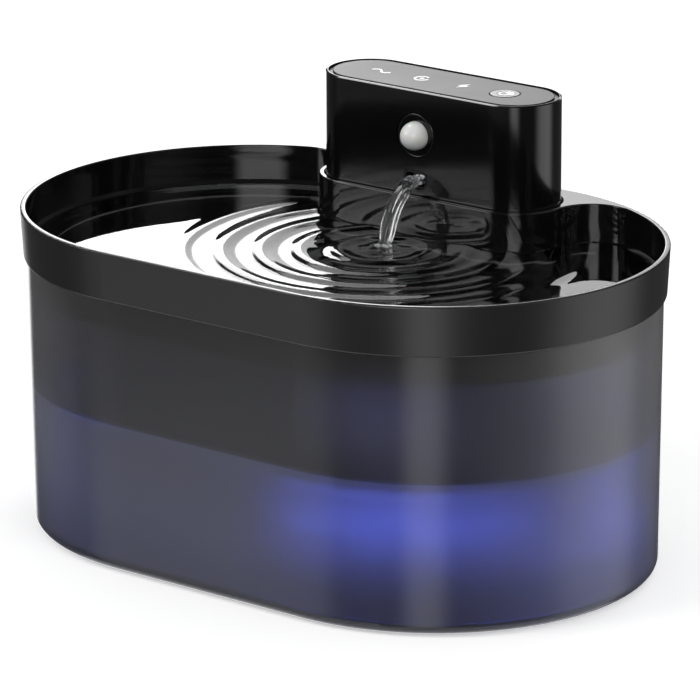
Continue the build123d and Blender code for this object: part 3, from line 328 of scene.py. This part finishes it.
def metal(name, colour, rough, stretch=(1.0, 1.0, 14.0)):
    """Drawn or turned metal with fine lines."""
    m, g, s = surface(name, {"Metallic": 1.0})
    p = g.place()
    lines = g.noise(g.stretched(p, *stretch), 420.0, 3.0, 0.6)
    slow = g.noise(p, 160.0, 2.0, 0.5)
    dark = tuple(c * 0.85 for c in colour[:3]) + (1.0,)
    g.put(s.inputs["Base Color"], g.mix(slow, dark, colour))
    g.put(s.inputs["Roughness"], g.math("MULTIPLY_ADD", lines, 0.16, rough))
    g.put(s.inputs["Normal"], g.bump(lines, 0.15, 0.01))
    return m


def copper_material():
    """Enamelled copper wire wound round the motor's axis."""
    m, g, s = surface("stator_copper", {"Metallic": 0.9})
    p = g.place()
    wave = g.node("ShaderNodeTexWave", {"Vector": p, "Scale": 620.0, "Distortion": 0.4}, bands_direction="X")
    wires = wave.outputs["Fac"]
    g.put(s.inputs["Base Color"], g.mix(wires, (0.28, 0.09, 0.03, 1), (0.72, 0.32, 0.14, 1)))
    g.put(s.inputs["Roughness"], g.math("MULTIPLY_ADD", wires, -0.1, 0.38))
    g.put(s.inputs["Normal"], g.bump(wires, 0.5, 0.12))
    return m


def fleece(name, low, high, scale, strength):
    """Fibrous pad: cloudy fibres over fine hairs."""
    m, g, s = surface(name, {"Sheen Weight": 0.25})
    p = g.place()
    cloud = g.noise(p, scale * 0.3, 4.0, 0.7)
    hair = g.noise(g.stretched(p, 1.0, 3.0, 1.0), scale * 3.0, 4.0, 0.75)
    both = g.math("ADD", g.math("MULTIPLY", cloud, 0.5), g.math("MULTIPLY", hair, 0.5))
    g.put(s.inputs["Base Color"], g.mix(both, low, high))
    g.put(s.inputs["Roughness"], 0.9)
    g.put(s.inputs["Normal"], g.bump(both, strength, 0.3))
    return m


def granules(name, low, high, scale, strength, rough):
    """Open cells or grains."""
    m, g, s = surface(name, {})
    p = g.place()
    cell = g.cells(p, scale)
    g.put(s.inputs["Base Color"], g.mix(cell, low, high))
    g.put(s.inputs["Roughness"], g.math("MULTIPLY_ADD", cell, 0.15, rough))
    g.put(s.inputs["Normal"], g.bump(cell, strength, 0.4))
    return m


def wrap_material():
    """Blue shrink wrap over the cell, with a lighter ring at each end."""
    m, g, s = surface("cell_wrap", {"IOR": 1.5})
    p = g.place()
    x, y, z = g.axes(p)
    ring = g.step(g.math("ABSOLUTE", x), 31.2 * MM, 31.8 * MM)
    slow = g.noise(g.stretched(p, 0.3, 1.0, 1.0), 260.0, 3.0, 0.6)
    blue = g.mix(slow, (0.010, 0.075, 0.26, 1), (0.016, 0.11, 0.36, 1))
    g.put(s.inputs["Base Color"], g.mix(ring, blue, (0.60, 0.61, 0.62, 1)))
    g.put(s.inputs["Roughness"], g.math("MULTIPLY_ADD", slow, 0.10, 0.26))
    g.put(s.inputs["Normal"], g.bump(slow, 0.1, 0.05))
    return m


def button_material():
    """Dished black button, polished."""
    m, g, s = surface("button_plastic", {"IOR": 1.5})
    p = g.place()
    slow = g.noise(p, 260.0, 3.0, 0.5)
    g.put(s.inputs["Base Color"], g.mix(slow, (0.010, 0.010, 0.011, 1), (0.018, 0.018, 0.019, 1)))
    g.put(s.inputs["Roughness"], g.math("MULTIPLY_ADD", slow, 0.05, 0.12))
    g.put(s.inputs["Normal"], g.bump(slow, 0.05, 0.01))
    return m


def clear_material():
    """Soft see-through tube."""
    m, g, s = surface("clear_tube", {"IOR": 1.45, "Transmission Weight": 0.85})
    p = g.place()
    slow = g.noise(p, 180.0, 3.0, 0.5)
    g.put(s.inputs["Base Color"], g.mix(slow, (0.80, 0.82, 0.84, 1), (0.92, 0.94, 0.95, 1)))
    g.put(s.inputs["Roughness"], g.math("MULTIPLY_ADD", slow, 0.08, 0.10))
    return m


def water_material(name, tint, strength=0.0):
    """Clear water with a faint tint. With a strength it carries a painted blue glow as emission, faint all
    through and strongest at the glow's place.
    """
    m, g, s = surface(name, {"IOR": 1.333, "Transmission Weight": 1.0, "Roughness": 0.0})
    p = g.place()
    slow = g.noise(p, 30.0, 2.0, 0.5)
    light = tuple(min(1.0, c * 1.03) for c in tint[:3]) + (1.0,)
    g.put(s.inputs["Base Color"], g.mix(slow, tint, light))
    if strength:
        # Painted glow: emission strongest round the glow's place, though the water is no lamp.
        near = g.nearness(p, GLOW_CENTRE, GLOW_REACH)
        g.put(s.inputs["Emission Color"], g.mix(slow, (0.06, 0.09, 0.9, 1), (0.09, 0.12, 1.0, 1)))
        even = g.math("MULTIPLY_ADD", slow, 0.3 * strength, 0.85 * strength)
        g.put(s.inputs["Emission Strength"], g.math("MULTIPLY_ADD", near, 1.15, even))
    return m


def print_with_painted_glow():
    """White print of the panel's symbols, with a painted glow given off as emission."""
    m, g, s = surface("symbol_print_with_painted_glow", {"Roughness": 0.45})
    p = g.place()
    fine = g.noise(p, 2500.0, 2.0, 0.6)
    g.put(s.inputs["Base Color"], g.mix(fine, (0.80, 0.80, 0.80, 1), (0.92, 0.92, 0.92, 1)))
    # Painted glow: the print gives off light as emission, though it is no lamp.
    g.put(s.inputs["Emission Color"], g.mix(fine, (0.9, 0.9, 0.9, 1), (1.0, 1.0, 1.0, 1)))
    g.put(s.inputs["Emission Strength"], g.math("MULTIPLY_ADD", fine, 0.1, 0.45))
    return m


FINISH = {
    "smoky_clear": tank_material(),
    "black_gloss_tray": tray_material(),
    "black_gloss_shell": shell_material(),
    "panel_gloss": panel_material(),
    "button_plastic": button_material(),
    "grey_silicone": moulded("grey_silicone", (0.11, 0.113, 0.118), 0.62, grain=1500.0, strength=0.2),
    "black_silicone": moulded("black_silicone", (0.006, 0.006, 0.0063), 0.48, grain=1800.0, strength=0.2),
    "grey_plastic": moulded("grey_plastic", (0.035, 0.037, 0.040), 0.42,
                            grain=1400.0, strength=0.25, depth=0.03),
    "white_plastic": moulded("white_plastic", (0.70, 0.71, 0.71), 0.35, vary=0.05),
    "pump_plastic": moulded("pump_plastic", (0.010, 0.010, 0.011), 0.44,
                            grain=1500.0, strength=0.3, depth=0.03),
    "white_lens": lens_material(),
    "light_window": window_material(),
    "blue_diffuser": diffuser_material(),
    "clear_tube": clear_material(),
    "circuit_board": board_material(),
    "switch_body": moulded("switch_body", (0.012, 0.012, 0.012), 0.4),
    "sensor_can": metal("sensor_can", (0.62, 0.62, 0.60, 1), 0.24),
    "socket_metal": metal("socket_metal", (0.66, 0.66, 0.67, 1), 0.20, (14.0, 1.0, 1.0)),
    "screw_steel": metal("screw_steel", (0.55, 0.55, 0.56, 1), 0.24),
    "cell_wrap": wrap_material(),
    "stator_copper": copper_material(),
    "magnet_ferrite": moulded("magnet_ferrite", (0.030, 0.030, 0.033), 0.5,
                              grain=700.0, strength=0.4, depth=0.03),
    "shaft_ceramic": moulded("shaft_ceramic", (0.78, 0.78, 0.76), 0.16, vary=0.03),
    "filter_cotton": fleece("filter_cotton", (0.60, 0.60, 0.58, 1), (0.88, 0.88, 0.86, 1), 900.0, 0.7),
    "filter_carbon": granules("filter_carbon", (0.004, 0.004, 0.004, 1), (0.035, 0.035, 0.036, 1),
                              900.0, 0.8, 0.55),
    "sponge": granules("sponge", (0.008, 0.008, 0.009, 1), (0.045, 0.045, 0.048, 1), 1100.0, 0.9, 0.8),
    "lead_black": moulded("lead_black", (0.006, 0.006, 0.006), 0.42),
}

# The nodes whose finish isn't simply their slot's.
OWN_FINISH = {
    "drinking_tray": "black_gloss_tray",
    "head_shell": "black_gloss_shell",
    "sensor_bezel": "black_gloss_shell",
    "light_diffuser": "blue_diffuser",
}

for part in frame["record"]["subparts"]:
    finish = OWN_FINISH.get(part["node"], part["material_slot"])
    node = NODES[part["node"]]
    node.data.materials.clear()
    node.data.materials.append(FINISH[finish])


# ------------------------------------------------------------------------------ mesh helpers
def add_mesh(name, verts, faces, material, body, smooth=True):
    """A new piece in metres from points in millimetres, riding on a body."""
    mesh = bpy.data.meshes.new(name)
    mesh.from_pydata([(x * MM, y * MM, z * MM) for x, y, z in verts], [], faces)
    mesh.validate()
    mesh.materials.append(material)
    b = bmesh.new()
    b.from_mesh(mesh)
    bmesh.ops.recalc_face_normals(b, faces=b.faces)
    b.to_mesh(mesh)
    b.free()
    mesh.polygons.foreach_set("use_smooth", [smooth] * len(mesh.polygons))
    obj = bpy.data.objects.new(name, mesh)
    bpy.context.scene.collection.objects.link(obj)
    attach(obj, body)
    return obj


def racetrack(radius, z):
    """Points round the body's outline at a distance from its middle line."""
    arc, straight = 48, 24
    pts = []
    for i in range(arc + 1):
        a = -math.pi / 2 + math.pi * i / arc
        pts.append((END_X + radius * math.cos(a), radius * math.sin(a), z))
    for i in range(1, straight):
        pts.append((END_X - 2 * END_X * i / straight, radius, z))
    for i in range(arc + 1):
        a = math.pi / 2 + math.pi * i / arc
        pts.append((-END_X + radius * math.cos(a), radius * math.sin(a), z))
    for i in range(1, straight):
        pts.append((-END_X + 2 * END_X * i / straight, -radius, z))
    return pts


def tube_faces(rings, count):
    """Quads between closed rings of points that follow each other."""
    faces = []
    for k in range(rings - 1):
        for i in range(count):
            j = (i + 1) % count
            faces.append((k * count + i, k * count + j, (k + 1) * count + j, (k + 1) * count + i))
    return faces


# ------------------------------------------------------------------------------ water in the tank
def tank_inner_radius(z):
    return BODY_R - TANK_WALL - TANK_DRAFT * (TANK_TOP - z) / (TANK_TOP - TANK_FOOT)


def tank_water():
    """The water in the tank, up to its line, with a small meniscus at the wall."""
    gap, corner = 0.12, 2.5
    rings = []
    floor = TANK_FLOOR + gap
    for radius in (2.0, 30.0, 50.0, 62.0):
        rings.append(racetrack(radius, floor))
    for i in range(7):
        a = math.pi / 2 * i / 6
        z = floor + corner * (1 - math.cos(a))
        rings.append(racetrack(tank_inner_radius(floor + corner) - gap - corner * (1 - math.sin(a)), z))
    for z in (14.0, 24.0, 34.0, 44.0, TANK_LEVEL + 0.9):
        rings.append(racetrack(tank_inner_radius(z) - gap, z))
    edge = tank_inner_radius(TANK_LEVEL) - gap
    for inset, rise in ((0.25, 0.45), (0.7, 0.18), (1.6, 0.04), (3.0, 0.0)):
        rings.append(racetrack(edge - inset, TANK_LEVEL + rise))
    for radius in (64.0, 56.0, 48.0, 40.0, 32.0, 24.0, 16.0, 8.0, 2.0):
        ring = []
        for x, y, z in racetrack(radius, TANK_LEVEL):
            wave = noise.noise(Vector((x * 0.06, y * 0.06, 3.1)))
            ring.append((x, y, z + 0.12 * wave))
        rings.append(ring)
    count = len(rings[0])
    verts = [p for ring in rings for p in ring]
    faces = tube_faces(len(rings), count)
    faces.append(tuple(range(count)))
    faces.append(tuple((len(rings) - 1) * count + i for i in range(count)))
    # The tank's water carries the painted blue glow.
    material = water_material("tank_water", (0.86, 0.89, 0.97, 1), 0.03)
    return add_mesh("tank_water", verts, faces, material, "tank")


# ------------------------------------------------------------------------------ water in the basin
def collar_distance(x, y):
    return math.hypot(max(abs(x) - COLLAR_X, 0.0), y - HEAD_Y) - COLLAR_R


def basin_distance(x, y, edge):
    """Distance past the water's edge: negative on the water."""
    ax = abs(x)
    outer = math.hypot(max(ax - END_X, 0.0), y) - edge
    d = max(outer, -collar_distance(x, y))
    angle = math.degrees(math.atan2(y - BLEND_Y, ax - BLEND_X)) % 360
    if BLEND_ANGLES[0] <= angle <= BLEND_ANGLES[1]:
        d = max(d, math.hypot(ax - BLEND_X, y - BLEND_Y) - BLEND_R)
    return d


def ripple(x, y):
    """Height of the surface: rings round the place where the stream lands, and a disturbed middle."""
    dx, dy = x - LANDING[0], y - LANDING[1]
    r = math.hypot(dx, dy)
    wobble = noise.noise(Vector((x * 0.035, y * 0.035, 0.7)))
    fine = noise.noise(Vector((x * 0.16, y * 0.16, 2.3)))
    phase = 2 * math.pi * (r + 0.5 * wobble + 0.1 * fine - RING_CREST) / RING_PITCH
    fade_out = 1 / (1 + math.exp((r - RING_END) / 1.6))
    fade_in = 1 - math.exp(-(r / 9.0) ** 2)
    amp = (0.30 + 0.10 * math.exp(-((r - 20.0) / 25.0) ** 2)) * fade_out * fade_in
    rings = amp * (math.cos(phase) + 0.2 * math.cos(2 * phase - 0.7))
    middle = math.exp(-(r / 14.0) ** 2)
    chop = 0.28 * noise.noise(Vector((x * 0.23, y * 0.23, 5.0)))
    chop += 0.12 * noise.noise(Vector((x * 0.6, y * 0.6, 9.0)))
    near = 0.35 * math.exp(-((r - 6.0) / 3.2) ** 2)
    return rings + middle * chop + near


def basin_water():
    """Ripple surface on a grid of 1 mm, cut to the basin, with a short skirt round its edge."""
    edge = STEP_R + (BASIN_LEVEL - STEP_LOW)
    nx, ny = 232, 152
    skirt = 0.7
    grid = {}
    verts = []

    def vertex(i, j):
        key = (i, j)
        if key not in grid:
            x, y = i - nx / 2, j - ny / 2
            # A point past the edge slides back onto it.
            for _ in range(6):
                d = basin_distance(x, y, edge)
                if d <= 0:
                    break
                h = 0.05
                gx = (basin_distance(x + h, y, edge) - basin_distance(x - h, y, edge)) / (2 * h)
                gy = (basin_distance(x, y + h, edge) - basin_distance(x, y - h, edge)) / (2 * h)
                n = math.hypot(gx, gy)
                if n < 0.2:
                    break
                x, y = x - d * gx / n, y - d * gy / n
            climb = 0.08 * math.exp(basin_distance(x, y, edge) / 0.8)
            grid[key] = len(verts)
            verts.append((x, y, BASIN_LEVEL + ripple(x, y) + climb))
        return grid[key]

    faces = []
    for i in range(nx):
        for j in range(ny):
            x, y = i + 0.5 - nx / 2, j + 0.5 - ny / 2
            if basin_distance(x, y, edge) < 0:
                faces.append((vertex(i, j), vertex(i + 1, j), vertex(i + 1, j + 1), vertex(i, j + 1)))
    sides = {}
    for f in faces:
        for a, b in zip(f, f[1:] + f[:1]):
            sides[(a, b)] = True
    border = [(a, b) for (a, b) in sides if (b, a) not in sides]
    lower = {}
    for a, b in border:
        for v in (a, b):
            if v not in lower:
                x, y, z = verts[v]
                lower[v] = len(verts)
                verts.append((x, y, BASIN_LEVEL - skirt))
    for a, b in border:
        faces.append((b, a, lower[a], lower[b]))
    material = water_material("basin_water", (0.90, 0.92, 0.93, 1))
    return add_mesh("basin_water", verts, faces, material, "tray")


# ------------------------------------------------------------------------------ stream from the spout
# Each row is a place on the stream's middle line, then its half width and half thickness there.
STREAM_PATH = [
    (0.0, 44.6, 115.0, 3.2, 1.5), (0.0, 42.0, 115.2, 3.3, 1.6), (0.0, 40.0, 115.3, 3.4, 1.6),
    (0.2, 37.5, 115.0, 3.3, 1.5), (0.45, 34.3, 113.8, 3.0, 1.4), (0.7, 31.7, 112.2, 2.9, 1.4),
    (0.8, 29.3, 110.2, 2.8, 1.4), (1.0, 26.8, 107.4, 2.8, 1.4), (1.1, 24.9, 104.4, 2.8, 1.4),
    (1.25, 23.5, 101.2, 2.7, 1.4), (1.35, 22.3, 98.2, 2.4, 1.4), (1.4, 21.8, 96.0, 2.7, 1.7)]


def spline(path, steps):
    """Smooth curve through the rows of a path."""
    curve = []
    for k in range(len(path) - 1):
        p0, p1 = path[max(k - 1, 0)], path[k]
        p2, p3 = path[k + 1], path[min(k + 2, len(path) - 1)]
        for i in range(steps):
            t = i / steps
            row = []
            for a, b, c, d in zip(p0, p1, p2, p3):
                bend, twist = 2 * a - 5 * b + 4 * c - d, 3 * b - a - 3 * c + d
                row.append(0.5 * (2 * b + (c - a) * t + bend * t * t + twist * t ** 3))
            curve.append(row)
    curve.append(list(path[-1]))
    return curve


def stream():
    """Ribbon of falling water: it leaves the spout flat, bends down and narrows, with strands along it."""
    curve = spline(STREAM_PATH, 12)
    count = 120
    verts = []
    for k, (x, y, z, half, thick) in enumerate(curve):
        a = curve[max(k - 1, 0)]
        b = curve[min(k + 1, len(curve) - 1)]
        along = Vector((b[0] - a[0], b[1] - a[1], b[2] - a[2])).normalized()
        side = Vector((1, 0, 0))
        up = along.cross(side)
        run = k / (len(curve) - 1)
        for i in range(count):
            t = 2 * math.pi * i / count
            shape = 1 + 0.06 * math.cos(9 * t + 1.2 * run) + 0.05 * math.cos(14 * t - 2.0 * run)
            shape += 0.18 * noise.noise(Vector((math.cos(t) * 2.6, math.sin(t) * 2.6, run * 2.2)))
            shape += 0.08 * noise.noise(Vector((math.cos(t) * 7.0, math.sin(t) * 7.0, run * 5.0 + 4.0)))
            p = Vector((x, y, z)) + side * (half * shape * math.cos(t)) + up * (thick * shape * math.sin(t))
            verts.append(tuple(p))
    faces = tube_faces(len(curve), count)
    faces.append(tuple(range(count)))
    faces.append(tuple((len(curve) - 1) * count + i for i in range(count)))
    return add_mesh("water_stream", verts, faces, STREAM_WATER, "head")


def drops(name, seats, body, seed):
    """Small beads of water, each a little out of round."""
    verts, faces = [], []
    for k, (x, y, z, r) in enumerate(seats):
        b = bmesh.new()
        bmesh.ops.create_icosphere(b, subdivisions=3, radius=1.0)
        start = len(verts)
        for v in b.verts:
            c = v.co
            size = r * (1 + 0.25 * noise.noise(Vector((c.x * 1.2, c.y * 1.2, c.z * 1.2 + 7 * k + seed))))
            verts.append((x + c.x * size, y + c.y * size, z + c.z * size * 0.9))
        faces += [tuple(start + v.index for v in f.verts) for f in b.faces]
        b.free()
    return add_mesh(name, verts, faces, FOAM_WATER, body)


def scattered(count, seed, low, high, small, large):
    """Seeded places and sizes inside a box."""
    seats = []
    for k in range(count):
        u = [0.5 + 0.5 * math.sin((k + 1) * (12.9898 + 3.1 * j) + seed * 7.7 + j) for j in range(4)]
        place = tuple(lo + (hi - lo) * w for lo, hi, w in zip(low, high, u))
        seats.append(place + (small + (large - small) * u[3],))
    return seats


def foam_material():
    """Water full of fine air: a third clear, the rest white."""
    m, g, s = surface("foam_water", {"IOR": 1.333, "Transmission Weight": 0.3})
    p = g.place()
    fine = g.noise(p, 900.0, 3.0, 0.6)
    g.put(s.inputs["Base Color"], g.mix(fine, (0.72, 0.74, 0.75, 1), (0.95, 0.96, 0.97, 1)))
    g.put(s.inputs["Roughness"], g.math("MULTIPLY_ADD", fine, 0.10, 0.05))
    g.put(s.inputs["Normal"], g.bump(fine, 0.4, 0.10))
    return m


STREAM_WATER = water_material("stream_water", (0.95, 0.96, 0.97, 1))
FOAM_WATER = foam_material()


# ------------------------------------------------------------------------------ symbols on the panel
PRINT_WITH_PAINTED_GLOW = print_with_painted_glow()


def ribbon(name, points, width, z, body="head"):
    """Flat printed line through points in plan."""
    verts, faces = [], []
    last = len(points) - 1
    for i, (x, y) in enumerate(points):
        a, b = points[max(i - 1, 0)], points[min(i + 1, last)]
        dx, dy = b[0] - a[0], b[1] - a[1]
        length = math.hypot(dx, dy)
        nx, ny = -dy / length * width / 2, dx / length * width / 2
        for level in (z, z + PRINT_THICK):
            verts += [(x + nx, y + ny, level), (x - nx, y - ny, level)]
    for i in range(last):
        a, b = 4 * i, 4 * (i + 1)
        faces += [(a + 2, a + 3, b + 3, b + 2), (a + 1, a, b, b + 1)]
        faces += [(a, a + 2, b + 2, b), (a + 3, a + 1, b + 1, b + 3)]
    end = 4 * last
    faces += [(0, 1, 3, 2), (end + 1, end, end + 2, end + 3)]
    return add_mesh(name, verts, faces, PRINT_WITH_PAINTED_GLOW, body, smooth=False)


def plate(name, outline, z):
    """Flat printed shape."""
    n = len(outline)
    verts = [(x, y, z) for x, y in outline] + [(x, y, z + PRINT_THICK) for x, y in outline]
    faces = [tuple(range(n - 1, -1, -1)), tuple(range(n, 2 * n))]
    faces += [(i, (i + 1) % n, n + (i + 1) % n, n + i) for i in range(n)]
    return add_mesh(name, verts, faces, PRINT_WITH_PAINTED_GLOW, "head", smooth=False)


def arc(cx, cy, r, start, end, n=28):
    """Points along an arc between two angles in degrees."""
    angles = [math.radians(start + (end - start) * i / n) for i in range(n + 1)]
    return [(cx + r * math.cos(a), cy + r * math.sin(a)) for a in angles]


def wave_line(cx, cy, length, rise):
    """Points along one full wave, first up, then down."""
    n = 40
    steps = [-length / 2 + length * i / n for i in range(n + 1)]
    return [(cx + x, cy + rise * math.sin(-2 * math.pi * x / length)) for x in steps]


def symbols():
    """Wave, loop with a drop, bolt and power sign: plain signs that name nobody."""
    z = PANEL_TOP + 0.02
    ribbon("symbol_wave", wave_line(WAVE_X, HEAD_Y, 7.8, 1.5), 0.8, z)
    ribbon("symbol_loop", arc(LOOP_X, HEAD_Y, 2.5, 60, 360), 0.75, z)
    plate("symbol_drop", arc(LOOP_X, HEAD_Y, 0.8, 0, 345, 20), z)
    bolt = [(0.9, 2.9), (-1.9, -0.5), (-0.2, -0.5), (-0.9, -2.9), (1.9, 0.6), (0.2, 0.6)]
    plate("symbol_bolt", [(BOLT_X + x, HEAD_Y + y) for x, y in bolt], z)
    low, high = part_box("power_button")
    # The button's top is dished, so its print lies a little below the button's highest point.
    dished = high.z / MM - 0.06
    ribbon("symbol_power", arc(POWER_X, HEAD_Y, 1.9, 115, 425), 0.55, dished, "button")
    ribbon("symbol_power_bar", [(POWER_X, HEAD_Y + 0.5), (POWER_X, HEAD_Y + 2.5)], 0.55, dished, "button")


tank_water()
basin_water()
stream()
spout_seats = scattered(44, 1, (-2.6, 38.2, 114.2), (3.4, 40.6, 116.9), 0.22, 0.55)
splash_seats = scattered(30, 2, (-1.2, 19.8, 96.5), (4.2, 21.8, 97.1), 0.22, 0.45)
drops("spout_beads", spout_seats, "head", 0)
drops("splash_beads", splash_seats, "tray", 50)
symbols()


# ------------------------------------------------------------------------------ floor, light and camera
def floor():
    """White floor that keeps the object's shadow."""
    mesh = bpy.data.meshes.new("floor")
    b = bmesh.new()
    bmesh.ops.create_circle(b, cap_ends=True, segments=96, radius=6.0)
    b.to_mesh(mesh)
    b.free()
    m = bpy.data.materials.new("floor_white")
    m.use_nodes = True
    g = Graph(m.node_tree)
    p = g.place()
    tone = g.mix(g.noise(p, 3.0, 3.0, 0.5), (0.80, 0.80, 0.80, 1), (0.82, 0.82, 0.82, 1))
    cloth = g.node("ShaderNodeBsdfDiffuse", {"Color": tone})
    seen = g.node("ShaderNodeLightPath").outputs["Is Camera Ray"]
    fill = g.node("ShaderNodeEmission", {"Color": (1, 1, 1, 1), "Strength": g.math("MULTIPLY", seen, 0.45)})
    both = g.node("ShaderNodeAddShader", {0: cloth.outputs[0], 1: fill.outputs[0]})
    out = g.node("ShaderNodeOutputMaterial")
    g.tree.links.new(both.outputs[0], out.inputs["Surface"])
    mesh.materials.append(m)
    obj = bpy.data.objects.new("floor", mesh)
    bpy.context.scene.collection.objects.link(obj)
    obj.visible_glossy = False


def studio():
    """World: white to the camera and through clear pieces, grey to matt surfaces, boxes to reflections."""
    world = bpy.data.worlds.new("studio")
    bpy.context.scene.world = world
    world.use_nodes = True
    g = Graph(world.node_tree)
    direction = g.node("ShaderNodeTexCoord").outputs["Generated"]
    x, y, z = g.axes(direction)
    # In degrees: azimuth is 0 at the front and 90 at +X, height is 0 at the horizon.
    azimuth = g.math("MULTIPLY", g.math("ARCTAN2", x, g.math("MULTIPLY", y, -1.0)), 180 / math.pi)
    height = g.math("MULTIPLY", g.math("ARCSINE", z), 180 / math.pi)

    def band(value, low, high, soft):
        rise = g.step(value, low - soft, low + soft)
        fall = g.step(value, high + soft, high - soft)
        return g.math("MULTIPLY", rise, fall)

    def patch(az, el, strength, soft):
        """A soft-edged box: its span in azimuth and in height, its brightness, and how soft its edges are."""
        across = band(azimuth, az[0], az[1], soft[0])
        upright = band(height, el[0], el[1], soft[1])
        return g.math("MULTIPLY", g.math("MULTIPLY", across, upright), strength)

    boxes = [
        patch((-50, -19), (-39, -18.2), 1.0, (10, 1.3)),
        patch((-60, 15), (-14.9, -2), 0.16, (12, 0.8)),
        patch((22, 41), (-39, -1), 1.85, (7, 3)),
        patch((92, 134), (-16.7, -1), 1.7, (12, 1)),
        patch((102, 152), (-39, -16.7), 1.1, (14, 1)),
        patch((-150, -122), (-39, -1), 1.5, (4, 3)),
        patch((-143.2, -134.5), (9.4, 27), 6.0, (0.4, 0.6)),
        patch((-166, -143.2), (9.4, 27), 2.1, (0.4, 0.6)),
        patch((-168, -120), (28.5, 41), 2.0, (4, 1.5)),
        patch((-52, -24), (12, 30), 6.5, (6, 2)),
        patch((20, 44), (8, 27), 7.0, (4, 3)),
        patch((-128, -88), (44, 62), 8.0, (3, 2)),
        patch((70, 140), (8, 50), 0.5, (12, 8)),
    ]
    radiance = g.math("MULTIPLY_ADD", g.step(height, -38.0, -44.0), 0.9, 0.08)
    for box in boxes:
        radiance = g.math("ADD", radiance, box)
    path = g.node("ShaderNodeLightPath")
    plain = g.math("MAXIMUM", path.outputs["Is Camera Ray"], path.outputs["Is Transmission Ray"])
    gloss = path.outputs["Is Glossy Ray"]
    even = g.node("ShaderNodeBackground", {"Color": (1, 1, 1, 1), "Strength": 0.5})
    studio_boxes = g.node("ShaderNodeBackground", {"Color": (1, 1, 1, 1), "Strength": radiance})
    white = g.node("ShaderNodeBackground", {"Color": (1, 1, 1, 1), "Strength": 1.0})
    first = g.node("ShaderNodeMixShader", {0: gloss, 1: even.outputs[0], 2: studio_boxes.outputs[0]})
    second = g.node("ShaderNodeMixShader", {0: plain, 1: first.outputs[0], 2: white.outputs[0]})
    out = g.node("ShaderNodeOutputWorld")
    g.tree.links.new(second.outputs[0], out.inputs["Surface"])
    world.cycles.sampling_method = "NONE"


def lamp(name, place, target, size, power):
    """Soft round lamp aimed at a point."""
    data = bpy.data.lights.new(name, "AREA")
    data.shape = "DISK"
    data.size = size
    data.energy = power
    obj = bpy.data.objects.new(name, data)
    bpy.context.scene.collection.objects.link(obj)
    obj.location = place
    obj.rotation_euler = (Vector(target) - Vector(place)).to_track_quat("-Z", "Y").to_euler()
    obj.visible_glossy = False
    obj.visible_transmission = False
    obj.visible_camera = False


def photo_camera():
    """Camera at the photograph's viewing angle."""
    data = bpy.data.cameras.new("camera")
    data.sensor_fit = "HORIZONTAL"
    data.sensor_width = 36.0
    data.lens = 259.69
    data.clip_start = 0.05
    data.clip_end = 50.0
    obj = bpy.data.objects.new("camera", data)
    bpy.context.scene.collection.objects.link(obj)
    right = Vector((0.7901, 0.6130, -0.0036)).normalized()
    forward = Vector((-0.5866, 0.7543, -0.2948)).normalized()
    up = right.cross(forward).normalized()
    right = forward.cross(up).normalized()
    turn = Matrix((right, up, -forward)).transposed().to_4x4()
    obj.matrix_world = Matrix.Translation((0.9826, -1.2589, 0.5583)) @ turn
    bpy.context.scene.camera = obj


floor()
studio()
lamp("key_light", (-0.9, -1.3, 1.5), (0, 0, 0.05), 1.0, 14.0)
lamp("fill_light", (1.6, -0.5, 1.3), (0, 0, 0.05), 1.2, 8.0)
lamp("back_light", (-0.2, 1.6, 1.5), (0, 0, 0.05), 1.2, 8.0)
photo_camera()
bpy.context.scene.view_settings.view_transform = "Standard"
